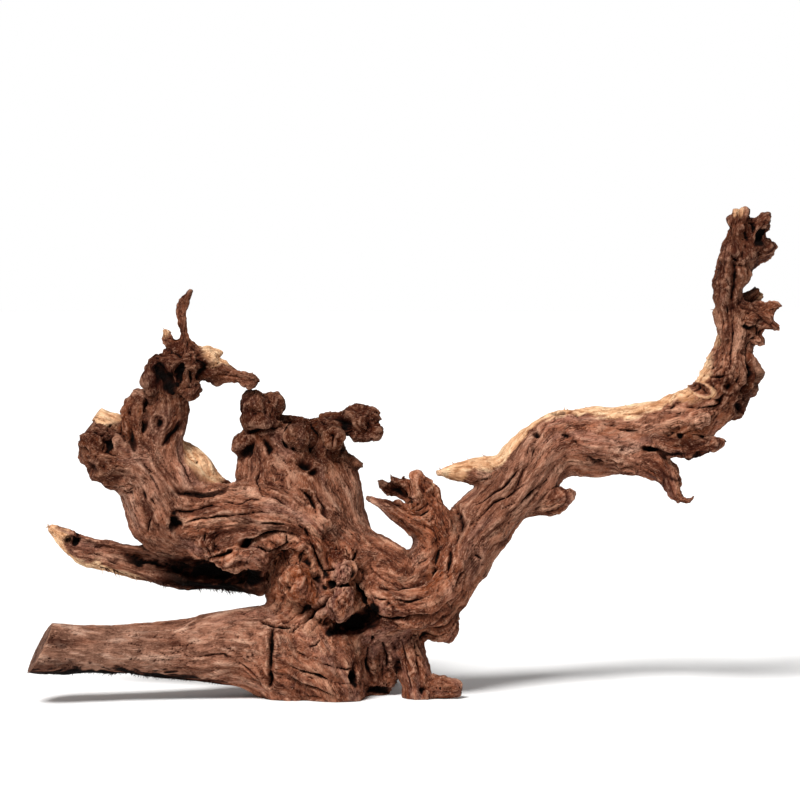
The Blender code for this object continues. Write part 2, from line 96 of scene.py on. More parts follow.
# Branches, roots and folds that join the body with a tighter crease.
BRANCHES = {
    "split_branch": (0.85, [(-96, 6, 124, 20), (-140, 12, 127, 19), (-170, 15, 128, 20),
        (-200, 18, 133, 20), (-237, 23, 138, 17.5), (-262, 27, 143, 16.5), (-280, 30, 147, 16),
        (-298, 33, 159, 12), (-308, 35, 166, 8), (-316, 36, 170, 5)]),
    "pale_shoulder": (0.9, [(-192, 0, 260, 9), (-177, 0, 244, 17), (-164, 0, 231, 18), (-149, 2, 218, 13),
        (-130, 6, 211, 8)]),
    "burl_arm": (0.9, [(-204, -12, 231, 31), (-228, -18, 240, 31), (-250, -23, 246, 27)]),
    "sawn_stub": (0.8, [(-226, 0, 264, 16), (-244, 4, 275, 13), (-267, 10, 286, 9)]),
    "torn_lobe": (0.55, [(-206, -18, 254, 20), (-222, -22, 272, 19), (-227, -22, 288, 13),
        (-220, -20, 300, 8), (-211, -18, 310, 3)]),
    "spike": (0.9, [(-172, -20, 348, 14), (-173, -22, 362, 9), (-175, -25, 376, 7), (-176, -28, 390, 6.8),
        (-172, -30, 402, 6.2), (-165, -30, 414, 3.2)]),
    "crown_head": (0.85, [(-190, -18, 345, 13), (-176, -20, 345, 16), (-160, -18, 344, 14)]),
    "crown_flags": (0.7, [(-182, -18, 350, 11), (-190, -18, 363, 7), (-196, -19, 374, 3.5)]),
    "pale_knob": (0.85, [(-162, -16, 336, 18), (-148, -12, 338, 17), (-141, -10, 336, 13)]),
    "crown_twig": (1.0, [(-148, -14, 332, 12), (-132, -18, 329, 9.5), (-120, -22, 326, 10),
        (-109, -26, 323, 8.5), (-99, -30, 322, 6)]),
    "crown_flake": (0.6, [(-198, -22, 350, 5), (-206, -26, 343, 6), (-208, -30, 328, 7),
        (-205, -30, 313, 6), (-206, -22, 298, 3.5)]),
    "knob_arm": (0.9, [(-42, 8, 274, 14), (-20, 2, 276, 14), (-2, -6, 277, 16), (8, -8, 277, 15)]),
    "knob_fin": (0.6, [(-16, 2, 281, 8), (-6, 0, 288, 8), (2, -2, 296, 5)]),
    "stump_flake": (0.8, [(-96, -6, 262, 14), (-114, -4, 256, 12), (-125, -2, 249, 7)]),
    "stump_thorn": (0.8, [(-24, 8, 242, 13), (-6, 6, 237, 7), (4, 6, 234, 3.5)]),
    "lip": (0.9, [(-160, -18, 160, 17), (-136, -26, 148, 13), (-112, -24, 151, 17), (-90, -14, 142, 18)]),
    "fork": (0.85, [(60, -6, 118, 28), (75, -8, 150, 22), (73, -8, 176, 22), (68, -8, 198, 16),
        (60, -8, 214, 10), (53, -8, 230, 5)]),
    "fork_prong": (0.85, [(76, -12, 168, 16), (54, -18, 182, 15), (36, -22, 193, 12.5), (22, -24, 199, 7),
        (5, -24, 205, 3)]),
    "fork_rim": (0.6, [(66, 2, 194, 14), (52, 4, 203, 11.5), (42, 6, 207, 9), (33, 7, 209, 6),
        (27, 7, 211, 4)]),
    "fork_tooth_a": (0.7, [(32, 6, 206, 7), (26, 5, 213, 5.5), (18, 3, 221, 2)]),
    "fork_tooth_b": (0.7, [(42, 6, 207, 8), (36, 3, 217, 6), (29, 1, 228, 2)]),
    "fork_tooth_c": (0.7, [(52, 4, 205, 9), (47, 0, 217, 6.5), (41, -2, 229, 2)]),
    "swirl_band": (0.9, [(10, -20, 124, 15), (34, -30, 104, 17), (64, -30, 103, 17), (86, -22, 124, 17),
        (96, -14, 150, 16), (106, -4, 176, 14)]),
    "lower_band": (0.9, [(0, -20, 98, 12), (30, -30, 88, 11), (58, -30, 86, 11), (84, -18, 100, 13)]),
    "hanging_lobe": (0.9, [(82, -6, 92, 18), (80, -6, 73, 17), (79, -5, 60, 12)]),
    "right_foot": (0.9, [(38, 0, 88, 20), (47, -6, 62, 18), (51, -10, 40, 16), (57, -14, 18, 16),
        (60, -16, -18, 18)]),
    "toe": (0.8, [(60, -14, 14, 13), (78, -18, 15, 12), (90, -20, 14, 11), (100, -22, 12, 7)]),
    "middle_root": (0.9, [(4, 2, 66, 22), (7, 4, 44, 20), (8, 8, 24, 17), (8, 12, 8, 13),
        (8, 18, -14, 12)]),
    "inner_root": (0.9, [(26, -6, 76, 16), (28, -4, 54, 14), (27, 0, 36, 12), (22, 6, 20, 11),
        (18, 10, 4, 12), (18, 12, -14, 12)]),
    "pale_tip": (0.7, [(152, 22, 222, 23), (126, 14, 227, 16), (106, 8, 228, 12), (92, 4, 228, 9),
        (76, 0, 228, 4.5)]),
    "limb_stub": (0.8, [(160, 22, 194, 20), (186, 17, 198, 14), (203, 12, 202, 9), (215, 10, 206, 4)]),
    "drooping_twig": (0.85, [(262, 20, 240, 21), (284, 12, 238, 18), (302, 4, 230, 15), (311, -2, 216, 11),
        (315, -6, 205, 8.5), (324, -10, 200, 7.5), (332, -12, 203, 6), (334, -12, 210, 2.5)]),
    "ragged_keel": (0.8, [(298, 0, 262, 8), (312, -10, 254, 11), (332, -18, 254, 11), (350, -22, 258, 7),
        (360, -22, 260, 4), (371, -22, 263, 1.5)]),
    "mast_left_tip": (0.9, [(373, -25, 448, 16), (371, -27, 467, 13.5), (375, -28, 480, 12.5),
        (378, -29, 495, 6)]),
    "mast_right_tip": (0.9, [(377, -24, 446, 15), (388, -24, 462, 12), (398, -25, 476, 12),
        (408, -26, 480, 10)]),
    "mast_rear_tip": (0.9, [(374, -21, 436, 12), (390, -17, 447, 11.5), (402, -14, 455, 10),
        (409, -12, 464, 6)]),
    "side_branch": (0.9, [(370, -18, 376, 15), (386, -22, 386, 15), (400, -24, 386, 14), (410, -25, 377, 8),
        (418, -26, 372, 2.5)]),
    "side_web": (0.8, [(374, -14, 370, 15), (388, -18, 374, 13), (399, -20, 376, 9)]),
    "side_finger": (0.9, [(398, -24, 392, 11), (409, -26, 395, 7), (421, -28, 397, 2.5)]),
    "side_stub": (0.9, [(372, -10, 388, 13), (388, -5, 402, 11), (400, -2, 411, 9)]),
    "side_spur": (0.9, [(372, -16, 362, 14), (390, -20, 367, 12.5), (403, -22, 359, 3.5)]),
    "curl_rim": (0.8, [(374, -14, 352, 7), (385, -17, 346, 5.5), (391, -18, 332, 5), (389, -18, 317, 5),
        (381, -17, 305, 6)]),
    "curl": (0.8, [(370, -8, 348, 10), (378, -6, 341, 8), (380, -8, 327, 8), (374, -10, 312, 8),
        (368, -8, 300, 10)]),
    "back_stub": (0.9, [(-56, 40, 205, 22), (-64, 68, 222, 17), (-72, 94, 238, 14), (-76, 110, 246, 12)]),
    "back_fold": (0.9, [(40, 26, 100, 20), (72, 36, 128, 20), (104, 40, 168, 20), (132, 42, 202, 18)]),
}

# Burls: a knot of rounded lumps. Each row is (x, y, z, radius).
BURLS = [
    (-20, 62, 140, 18), (402, -25, 480, 9), (375, -26, 463, 12), (-95, 48, 180, 18), (200, 48, 262, 15),
    (372, -8, 322, 14),
]
BURL_LUMPS = 8
# Single rounded lumps.
BOSSES = [
    (-262, -21, 262, 20), (-256, -24, 240, 20), (-268, -14, 250, 15), (-246, -26, 226, 12),
    (-188, -18, 330, 23), (-172, -26, 338, 17), (-166, -30, 315, 13), (-182, -30, 316, 11),
    (-102, -2, 291, 21), (-104, -12, 298, 15), (-88, -8, 296, 13), (-96, -14, 279, 13), (5, -8, 278, 13),
    (3, -8, 289, 9), (12, -8, 288, 8.5), (12, -10, 271, 10), (2, -10, 266, 9), (-60, -14, 267, 13),
    (-26, -12, 264, 13), (-17, -36, 131, 14), (-18, -40, 103, 17), (-34, -36, 98, 14), (-62, -32, 124, 20),
    (-54, -34, 112, 14), (-150, -26, 157, 13), (-160, -22, 148, 10), (369, -9, 290, 14),
    (341, -16, 284, 14),
]

# Hollows, cut with strands of their own. The first value is again the depth of the section over its width.
HOLLOWS = {
    "cavity": (2.3, [(-30, -42, 72, 4.5), (-18, -42, 76, 8), (-3, -42, 80, 11), (9, -38, 86, 11),
        (15, -34, 95, 6)]),
    "trough": (1.5, [(-298, 24, 158, 4), (-280, 17, 153, 7), (-250, 9, 146, 9), (-222, 3, 139, 10),
        (-196, -2, 134, 10)]),
    "trough_deep": (1.5, [(-196, -2, 134, 9), (-172, -5, 130, 11.5), (-145, -9, 128, 12.5),
        (-110, -13, 127, 12)]),
    "burl_mouth": (1.3, [(-202, -42, 342, 6), (-199, -41, 330, 10), (-192, -41, 317, 8),
        (-186, -40, 309, 4)]),
    "burl_slot": (2.0, [(-178, -44, 344, 2), (-178, -44, 333, 3.2), (-181, -42, 320, 3.6)]),
    "fork_mouth": (1.0, [(24, -10, 215, 4.5), (38, -10, 207, 6), (52, -10, 197, 5.5)]),
    "mast_pit": (1.4, [(402, -36, 466, 5), (396, -34, 460, 6)]),
    "foot_gap": (1.0, [(33, -70, 13, 5), (33, 0, 13, 6), (33, 40, 13, 5)]),
    "stem_pit": (1.6, [(-184, -46, 190, 4), (-180, -42, 180, 5)]),
    "rear_cavity": (1.4, [(-60, 72, 96, 8), (-46, 72, 78, 12), (-34, 72, 60, 9)]),
    "swirl_gap": (1.4, [(-5, -50, 40, 2.5), (-7, -46, 28, 4.5), (-6, -42, 20, 3)]),
}

# How dark the painted shade inside each hollow is.
SHADES = {"cavity": 1.0, "trough": 0.3, "trough_deep": 1.0, "burl_mouth": 1.0, "burl_slot": 1.0,
          "fork_mouth": 0.9, "mast_pit": 0.9, "stem_pit": 0.95, "rear_cavity": 0.9, "swirl_gap": 0.9}

# The saw cuts: a point on the plane, the way that the sawn face looks and how far the cut reaches.
SAW_CUTS = {
    "log_end": ((-317, -58, 58), (-0.88, -0.15, 0.45), 96),
    "stub_end": ((-264, 8, 286), (-0.80, -0.10, 0.60), 44),
}

# Marks on the front, checks, folds and holes, painted dark as shade, with a few flat dark patches on the log:
# half width, depth, darkness and the line of (x, z).
MARKS = [
    (1.3, 6, 1.0, [(-53, 179), (-50, 168), (-48, 158), (-44, 146), (-40, 137), (-37, 131)]),
    (2.6, 8, 1.0, [(-37, 131), (-31, 122), (-28, 115), (-32, 104), (-42, 95), (-52, 86), (-64, 74)]),
    (3.2, 5, 1.0, [(-31, 121), (-28, 112)]),
    (1.5, 5, 1.0, [(-37, 131), (-30, 136), (-20, 140), (-8, 141), (-4, 148), (-2, 158)]),
    (1.8, 5, 1.0, [(-8, 141), (-6, 132), (-6, 122), (-14, 119), (-26, 119)]),
    (2.4, 7, 1.0, [(-4, 119), (2, 110), (6, 102), (10, 95)]),
    (7.0, 4, 1.0, [(-22, 78), (-8, 80), (4, 85), (11, 92)]),
    (3.5, 5, 1.0, [(9, 66), (13, 66)]),
    (1.4, 4, 0.9, [(-98, 83), (-88, 79), (-76, 77), (-66, 77)]),
    (2.4, 6, 1.0, [(-86, 77), (-87, 62), (-90, 48), (-91, 36), (-89, 22), (-88, 12)]),
    (1.2, 2, 0.6, [(-165, 50), (-135, 51), (-120, 44), (-108, 33), (-98, 20), (-90, 12)]),
    (1.3, 4, 0.8, [(-98, 207), (-80, 203), (-68, 196), (-62, 190), (-60, 182), (-55, 178)]),
    (1.4, 4, 0.8, [(-60, 214), (-50, 206), (-45, 198), (-42, 188), (-43, 181)]),
    (2.2, 4, 1.0, [(-184, 193), (-174, 192), (-163, 193)]),
    (1.2, 3, 0.8, [(-163, 193), (-150, 197), (-140, 199)]),
    (1.2, 3, 0.7, [(-172, 181), (-155, 186), (-140, 190), (-120, 192), (-100, 193)]),
    (1.2, 3, 0.7, [(-110, 180), (-92, 181), (-74, 180), (-66, 176)]),
    (2.6, 7, 1.0, [(-150, 145), (-138, 149), (-128, 155), (-118, 159), (-108, 162), (-98, 168), (-86, 172),
        (-72, 171)]),
    (2.6, 4, 0.9, [(-134, 152), (-124, 156), (-112, 159)]),
    (1.5, 4, 0.9, [(-100, 158), (-93, 152), (-82, 154), (-72, 161), (-72, 168)]),
    (1.8, 5, 0.9, [(-152, 173), (-156, 162), (-151, 152), (-146, 146)]),
    (4.6, 8, 1.0, [(-185, 186), (-181, 178), (-178, 173)]),
    (1.6, 5, 1.0, [(18, 126), (21, 117), (35, 116), (50, 117), (60, 119), (70, 126), (76, 137), (79, 150),
        (80, 164)]),
    (1.3, 3, 0.8, [(10, 109), (30, 107), (50, 105), (66, 109), (76, 104)]),
    (1.5, 4, 0.9, [(14, 92), (30, 86), (45, 89), (60, 92), (82, 90)]),
    (3.0, 6, 1.0, [(38, 72), (56, 75), (70, 72), (82, 76)]),
    (1.2, 3, 0.8, [(-66, 64), (-60, 56), (-46, 48), (-30, 42), (-12, 38), (0, 42)]),
    (1.3, 3, 0.8, [(-70, 42), (-52, 35), (-32, 28), (-14, 22), (0, 20)]),
    (1.1, 3, 0.7, [(-82, 28), (-66, 17), (-50, 8), (-38, 4)]),
    (1.1, 3, 0.7, [(-74, 33), (-56, 22), (-36, 14), (-14, 8)]),
    (1.0, 2, 0.6, [(-60, 66), (-52, 60), (-42, 62), (-36, 70)]),
    (2.2, 5, 1.0, [(-2, 52), (-3, 40), (-5, 30)]),
    (4.2, 6, 1.0, [(-8, 34), (-8, 24)]),
    (1.5, 4, 0.8, [(9, 52), (7, 38), (9, 26), (14, 16)]),
    (1.5, 4, 0.8, [(22, 60), (28, 46), (26, 32)]),
    (3.6, 5, 0.9, [(37, 44), (38, 34), (37, 25)]),
    (1.3, 3, 0.8, [(40, 62), (45, 45), (48, 28), (52, 14)]),
    (1.2, 3, 0.7, [(55, 62), (58, 42), (60, 24)]),
    (3.4, 5, 0.9, [(60, 15), (68, 15)]),
    (5.0, 4, 1.0, [(9, 8), (22, 7), (36, 5)]),
    (2.6, 5, 1.0, [(96, 188), (102, 179), (104, 166), (106, 156)]),
    (1.8, 3, 0.7, [(104, 154), (112, 150), (122, 142)]),
    (1.4, 3, 0.8, [(88, 158), (92, 146), (88, 130), (92, 118)]),
    (1.2, 3, 0.7, [(104, 136), (98, 122), (92, 112)]),
    (1.0, 2.5, 0.6, [(108, 176), (124, 188), (134, 200), (148, 206), (160, 214), (176, 226)]),
    (1.0, 2.5, 0.6, [(112, 194), (128, 204), (142, 214), (154, 226), (164, 240), (170, 256)]),
    (0.9, 2, 0.5, [(140, 190), (156, 200), (172, 210), (186, 222)]),
    (0.9, 2, 0.5, [(176, 212), (188, 224), (198, 236), (206, 244)]),
    (1.6, 4, 0.8, [(172, 244), (176, 256), (178, 268)]),
    (3.0, 5, 0.9, [(176, 262), (179, 268)]),
    (3.0, 3, 0.6, [(196, 268), (204, 264), (212, 262), (218, 256)]),
    (1.3, 3, 0.7, [(190, 286), (206, 286), (222, 284)]),
    (2.4, 3, 0.6, [(226, 244), (234, 236), (246, 234)]),
    (1.4, 3, 0.7, [(244, 276), (262, 272), (280, 270)]),
    (3.2, 5, 1.0, [(282, 250), (292, 252), (304, 250)]),
    (5.0, 2, 1.0, [(298, 256), (306, 247), (322, 243), (342, 244), (360, 251)]),
    (3.0, 4, 0.8, [(316, 266), (322, 268)]),
    (3.0, 6, 1.0, [(338, 265), (352, 267), (362, 272), (374, 280)]),
    (1.6, 4, 1.0, [(322, 293), (336, 295), (348, 297), (358, 299)]),
    (2.0, 4, 0.9, [(350, 304), (356, 302), (360, 308)]),
    (1.6, 3, 0.8, [(337, 327), (350, 326), (362, 326)]),
    (3.6, 7, 1.0, [(382, 342), (385, 332), (383, 322), (379, 313)]),
    (1.4, 3, 0.8, [(368, 340), (374, 330), (372, 318)]),
    (4.0, 4, 0.9, [(364, 318), (366, 312)]),
    (3.4, 5, 1.0, [(367, 404), (372, 414), (372, 428), (369, 440)]),
    (1.6, 4, 0.8, [(362, 398), (364, 384), (366, 372)]),
    (3.0, 4, 0.9, [(378, 377), (384, 374), (394, 374)]),
    (1.6, 4, 0.9, [(380, 392), (384, 386), (392, 380)]),
    (5.0, 5, 1.0, [(393, 462), (402, 466)]),
    (2.4, 5, 1.0, [(381, 470), (384, 462), (380, 452), (378, 444)]),
    (1.8, 4, 0.8, [(364, 476), (368, 466), (366, 454)]),
    (1.6, 4, 0.8, [(364, 448), (372, 442), (378, 436)]),
    (8.5, 2, 0.9, [(-203, 342), (-200, 327), (-189, 312)]),
    (4.0, 6, 1.0, [(-179, 340), (-179, 322)]),
    (3.2, 5, 1.0, [(-160, 346), (-153, 340), (-152, 332), (-160, 326)]),
    (1.5, 4, 0.8, [(-196, 356), (-182, 352), (-168, 355)]),
    (1.5, 4, 0.8, [(-174, 318), (-164, 316), (-156, 320)]),
    (5.5, 5, 1.0, [(-175, 280), (-186, 268), (-195, 259)]),
    (3.6, 4, 1.0, [(-208, 306), (-213, 298), (-214, 288)]),
    (2.0, 4, 0.8, [(-214, 290), (-212, 280), (-216, 268)]),
    (3.6, 4, 0.9, [(-230, 272), (-225, 262), (-222, 254)]),
    (2.4, 3, 0.8, [(-254, 268), (-249, 260), (-252, 250)]),
    (2.0, 4, 0.8, [(-264, 274), (-256, 270), (-248, 276)]),
    (3.0, 4, 0.9, [(-272, 242), (-268, 236), (-262, 230)]),
    (1.8, 4, 0.8, [(-278, 254), (-268, 250), (-256, 250)]),
    (2.0, 3, 0.8, [(-250, 228), (-240, 228), (-232, 232)]),
    (1.6, 4, 0.9, [(-206, 206), (-201, 197), (-207, 186), (-211, 172)]),
    (4.0, 3, 0.6, [(-214, 214), (-212, 204)]),
    (1.2, 3, 0.8, [(-199, 180), (-198, 170)]),
    (3.4, 4, 0.9, [(-182, 213), (-165, 210), (-148, 210), (-136, 215), (-126, 219)]),
    (1.2, 2, 0.6, [(-180, 258), (-176, 244), (-172, 230), (-168, 220)]),
    (1.6, 3, 0.9, [(-160, 242), (-158, 239)]),
    (5.0, 6, 1.0, [(-123, 246), (-115, 248), (-106, 260)]),
    (2.6, 5, 1.0, [(-116, 271), (-98, 270), (-84, 272), (-70, 279)]),
    (3.0, 4, 0.9, [(-120, 272), (-122, 284), (-118, 298), (-110, 305)]),
    (1.2, 1.5, 0.5, [(-92, 310), (-89, 299), (-92, 288)]),
    (3.6, 5, 1.0, [(-96, 262), (-90, 254), (-92, 246)]),
    (4.6, 7, 1.0, [(-62, 240), (-54, 236), (-46, 234)]),
    (5.2, 8, 1.0, [(-46, 233), (-42, 226)]),
    (1.8, 4, 0.9, [(-50, 250), (-46, 262), (-50, 276)]),
    (1.8, 4, 0.8, [(-78, 262), (-70, 252), (-60, 248)]),
    (3.0, 5, 1.0, [(-30, 284), (-20, 283), (-12, 276), (-9, 268)]),
    (3.0, 5, 1.0, [(-8, 268), (-14, 258), (-18, 250)]),
    (1.6, 4, 0.8, [(-34, 274), (-26, 268), (-28, 256)]),
    (2.4, 4, 0.9, [(2, 284), (0, 274), (4, 264)]),
    (1.6, 4, 0.8, [(8, 282), (14, 276), (12, 268), (6, 270)]),
    (1.5, 3, 0.8, [(-100, 232), (-104, 222), (-100, 212)]),
    (1.5, 3, 0.7, [(-44, 206), (-36, 196), (-34, 186)]),
    (3.0, 4, 0.9, [(-38, 196), (-34, 186)]),
    (6.0, 4, 1.0, [(28, 212), (38, 208), (45, 201)]),
    (1.5, 3, 0.8, [(60, 204), (66, 214), (64, 222)]),
    (1.5, 3, 0.8, [(70, 198), (62, 190), (50, 188)]),
    (9.5, 0.5, 1.0, [(-366, 45), (-330, 37), (-300, 33), (-260, 31), (-220, 29), (-180, 25), (-150, 19),
        (-108, 8)]),
    (7.0, 0.5, 0.55, [(-326, 76), (-304, 71), (-270, 65)]),
    (8.0, 0.5, 0.5, [(-340, 48), (-306, 43), (-262, 40)]),
    (0.9, 1.5, 0.5, [(-140, 60), (-118, 50), (-104, 36), (-96, 22)]),
    (8.0, 0.5, 1.0, [(-206, 124), (-176, 116), (-150, 112), (-126, 110), (-96, 111)]),
    (5.5, 5, 1.0, [(-291, 158), (-282, 158)]),
    (6.0, 3, 1.0, [(-240, 141), (-220, 138), (-196, 133)]),
    (9.5, 4, 1.0, [(-196, 133), (-170, 129), (-140, 127), (-112, 126)]),
    (2.0, 3, 0.8, [(-278, 146), (-250, 138), (-226, 131)]),
]

# Raised folds on the front, with a crease on each side: half width, height and the line of (x, z).
FOLDS = [
    (8.5, 4.0, [(6, 113), (30, 110), (56, 110), (72, 118), (83, 134), (87, 152), (90, 176), (84, 198)]),
    (8.0, 3.4, [(14, 98), (44, 95), (68, 98), (84, 108), (94, 126), (100, 146), (112, 170)]),
    (7.0, 3.0, [(30, 80), (58, 82), (80, 84), (96, 98), (108, 120)]),
    (7.0, 3.2, [(-186, 202), (-160, 203), (-130, 210), (-100, 213), (-70, 208)]),
    (6.5, 3.2, [(-160, 190), (-130, 196), (-95, 199), (-72, 192), (-60, 178)]),
    (5.5, 2.6, [(-166, 180), (-140, 183), (-112, 186), (-86, 186), (-68, 178)]),
    (8.0, 3.6, [(-148, 141), (-134, 146), (-120, 152), (-106, 151), (-94, 141), (-86, 126)]),
    (7.0, 3.2, [(-94, 100), (-86, 116), (-76, 134), (-70, 150), (-56, 160)]),
    (7.0, 2.6, [(-80, 84), (-72, 98), (-64, 112), (-52, 124)]),
    (7.5, 3.0, [(-40, 196), (-26, 180), (-10, 166), (4, 152), (10, 134)]),
    (6.0, 2.6, [(-36, 222), (-24, 200), (-18, 180)]),
    (6.0, 2.4, [(30, 158), (46, 138), (56, 130), (66, 136)]),
    (6.0, 2.4, [(-76, 60), (-56, 48), (-34, 38), (-8, 30)]),
    (5.5, 2.2, [(-80, 42), (-60, 28), (-38, 20), (-10, 14)]),
    (5.0, 2.2, [(-112, 40), (-100, 26), (-90, 8)]),
    (5.0, 2.6, [(10, 62), (14, 44), (16, 26)]),
    (4.5, 2.4, [(28, 56), (33, 42), (31, 24)]),
    (5.0, 2.4, [(50, 58), (53, 40), (56, 20)]),
    (6.5, 3.0, [(110, 186), (130, 204), (146, 216), (158, 232), (166, 250), (176, 262)]),
    (6.5, 2.8, [(118, 168), (140, 188), (160, 206), (178, 226), (190, 246)]),
    (6.0, 2.4, [(150, 184), (172, 198), (190, 214), (202, 236)]),
    (6.5, 2.6, [(210, 278), (236, 272), (262, 264), (278, 252)]),
    (6.0, 2.4, [(206, 250), (230, 250), (256, 244), (274, 240)]),
    (6.0, 2.6, [(284, 282), (310, 282), (334, 284), (350, 290)]),
    (5.0, 2.4, [(361, 452), (362, 430), (362, 410), (364, 390)]),
    (4.0, 2.2, [(380, 372), (376, 356), (372, 342)]),
    (5.0, 2.4, [(-206, 250), (-202, 232), (-194, 214), (-190, 196)]),
    (5.0, 2.2, [(-184, 252), (-180, 236), (-174, 222)]),
    (5.0, 2.4, [(-222, 216), (-220, 196), (-214, 176)]),
    (5.5, 2.6, [(-104, 262), (-92, 240), (-84, 222)]),
    (6.0, 3.0, [(-76, 262), (-74, 248), (-62, 244), (-54, 254), (-56, 270)]),
    (5.5, 3.0, [(-40, 262), (-34, 272), (-22, 272), (-16, 262), (-20, 250)]),
]

# Knots: (x, y, z), the radius of the eye, how far the grain bends round it and how deep the eye is.
KNOTS = [
    ((-199, -40, 280), 9, 3.0, 0.8), ((-106, -24, 290), 11, 2.2, 0.45), ((10, -24, 277), 12, 2.0, 0.5),
    ((377, -20, 295), 8, 2.4, 0.8), ((366, -20, 317), 8, 2.4, 0.5), ((342, -24, 284), 11, 2.2, 0.15),
    ((-166, -40, 327), 8, 2.2, 0.55), ((-255, -44, 238), 11, 2.2, 0.3), ((-250, -44, 262), 10, 2.2, 0.4),
    ((-20, -50, 106), 12, 2.2, 0.0), ((-17, -48, 132), 9, 2.2, 0.0), ((-64, -48, 124), 14, 2.2, 0.0),
    ((-28, -28, 264), 10, 2.2, 0.0), ((-60, -30, 270), 9, 2.4, 0.2), ((-150, -38, 157), 9, 2.2, 0.0),
    ((-45, -58, 60), 7, 4.0, 0.0), ((204, -4, 264), 10, 3.0, 0.25), ((112, -24, 150), 9, 2.6, 0.15),
    ((-52, -40, 208), 7, 3.4, 0.15), ((20, -36, 140), 9, 3.0, 0.0), ((70, -34, 188), 8, 2.4, 0.1),
    ((-30, 66, 130), 12, 2.8, 0.8), ((60, 46, 116), 10, 2.8, 0.6), ((-95, 62, 185), 10, 2.6, 0.7),
    ((205, 62, 260), 10, 2.8, 0.6), ((-190, 24, 230), 9, 2.8, 0.5), ((310, 40, 275), 9, 2.6, 0.6),
]

# How the surface differs from place to place: x, z and reach, then quiet, gnarled, greyed and stained.
PLACES = [
    (-325, 58, 34, 0.75, 0, 0.9, 0.3), (-265, 56, 50, 0.75, 0, 1, 0), (-190, 54, 45, 0.75, 0, 0.85, 0),
    (-135, 54, 40, 0.65, 0, 0.7, 0.05), (-110, 30, 30, 0.6, 0, 0.35, 0.15),
    (-45, 40, 40, 0.35, 0.1, 0.3, 0.3), (-195, 278, 26, 0.4, 0.1, 0.4, 0.72),
    (-165, 240, 24, 0.85, 0, 0.4, 0), (-200, 225, 30, 0.3, 0.15, 0.7, 0.1),
    (-212, 185, 26, 0.2, 0.2, 0.5, 0.2), (-262, 253, 30, 0, 0.6, 0.2, 0.8),
    (-224, 288, 20, 0, 0.4, 0.1, 0.7), (-182, 332, 34, 0, 0.8, 0.1, 0.95),
    (-175, 372, 20, 0.3, 0.3, 0.2, 0.5), (-168, 408, 14, 0.2, 0.3, 0, 0.9),
    (-112, 322, 18, 0, 0.9, 0.2, 0.7), (-106, 290, 24, 0, 0.25, 0, 1), (-44, 262, 34, 0.05, 0.5, 0, 1),
    (10, 275, 24, 0, 0.5, 0, 1), (-8, 205, 30, 0.65, 0.1, 0.55, 0.15), (-80, 225, 30, 0.45, 0.2, 0.5, 0.35),
    (-110, 190, 40, 0.2, 0.3, 0.4, 0.1), (-150, 155, 26, 0, 0.6, 0.15, 0.1),
    (-45, 130, 36, 0.1, 0.7, 0.05, 0.25), (-20, 100, 22, 0.05, 0.8, 0, 0.42),
    (30, 140, 30, 0.4, 0.1, 0.35, 0.1), (60, 100, 34, 0.2, 0.2, 0.25, 0.22),
    (40, 40, 36, 0.2, 0.3, 0.15, 0.5), (66, 196, 28, 0, 0.7, 0.05, 0.3), (30, 213, 15, 0, 0.2, 0, 1),
    (130, 190, 36, 0.35, 0.1, 0.5, 0.35), (180, 225, 36, 0.35, 0.1, 0.7, 0.05),
    (215, 250, 30, 0.35, 0.2, 0.35, 0.05), (265, 255, 34, 0.35, 0.2, 0.55, 0.05),
    (330, 254, 22, 0, 0.9, 0, 0.85), (340, 292, 24, 0, 0.6, 0.4, 0.1), (378, 308, 22, 0, 0.7, 0.1, 0.95),
    (366, 284, 14, 0, 0.4, 0, 0.95), (368, 356, 22, 0.05, 0.55, 0.4, 0.3),
    (370, 410, 26, 0.1, 0.55, 0.25, 0.8), (385, 465, 30, 0, 0.85, 0.2, 0.75),
    (400, 385, 20, 0, 0.8, 0.2, 0.5), (310, 220, 28, 0.1, 0.6, 0.15, 0.35), (200, 200, 20, 0, 1, 0.1, 0.5),
    (-265, 145, 40, 0.45, 0.1, 0.5, 0.2), (-190, 128, 40, 0.4, 0.1, 0.5, 0.5),
]

# Bare sapwood: (x, y, z), reach of the patch and how pale it is.
SAPWOOD = [
    ((-158, -6, 238), 20, 1.0), ((-152, -4, 226), 15, 1.0), ((-172, -2, 256), 14, 0.8),
    ((-148, -10, 346), 17, 1.0), ((-139, -8, 338), 14, 0.9), ((-256, 8, 288), 16, 1.0),
    ((-246, 6, 284), 12, 0.8), ((-317, 34, 170), 12, 1.0), ((-306, 30, 160), 11, 0.9),
    ((-194, -18, 372), 7, 0.9), ((80, 0, 229), 15, 1.0), ((92, 3, 232), 14, 1.0), ((340, -2, 322), 14, 0.9),
    ((346, -6, 346), 10, 0.8), ((352, -12, 362), 9, 0.6), ((356, -14, 400), 7, 0.7),
    ((357, -14, 386), 6, 0.7), ((376, -28, 492), 6, 0.8), ((333, -4, 308), 16, 0.9),
    ((400, -4, 408), 7, 0.5), ((4, 8, 244), 8, 0.4),
]

# The split top of the long limb: above this line of (x, z) the wood is bare sapwood.
SPLIT_LINE = [
    (70, 214), (84, 222), (102, 227), (118, 231), (132, 231), (143, 236), (152, 244), (162, 256),
    (172, 269), (184, 277), (198, 281), (212, 285), (228, 283), (250, 280), (270, 283), (288, 288),
    (306, 292), (322, 300), (338, 312), (348, 326),
]
# The torn lower edge of the split branch: below this line of (x, z) it is bare.
TORN_LINE = [
    (-318, 176), (-306, 160), (-296, 149), (-284, 140), (-270, 135), (-256, 132), (-238, 126), (-214, 119),
    (-190, 112),
]

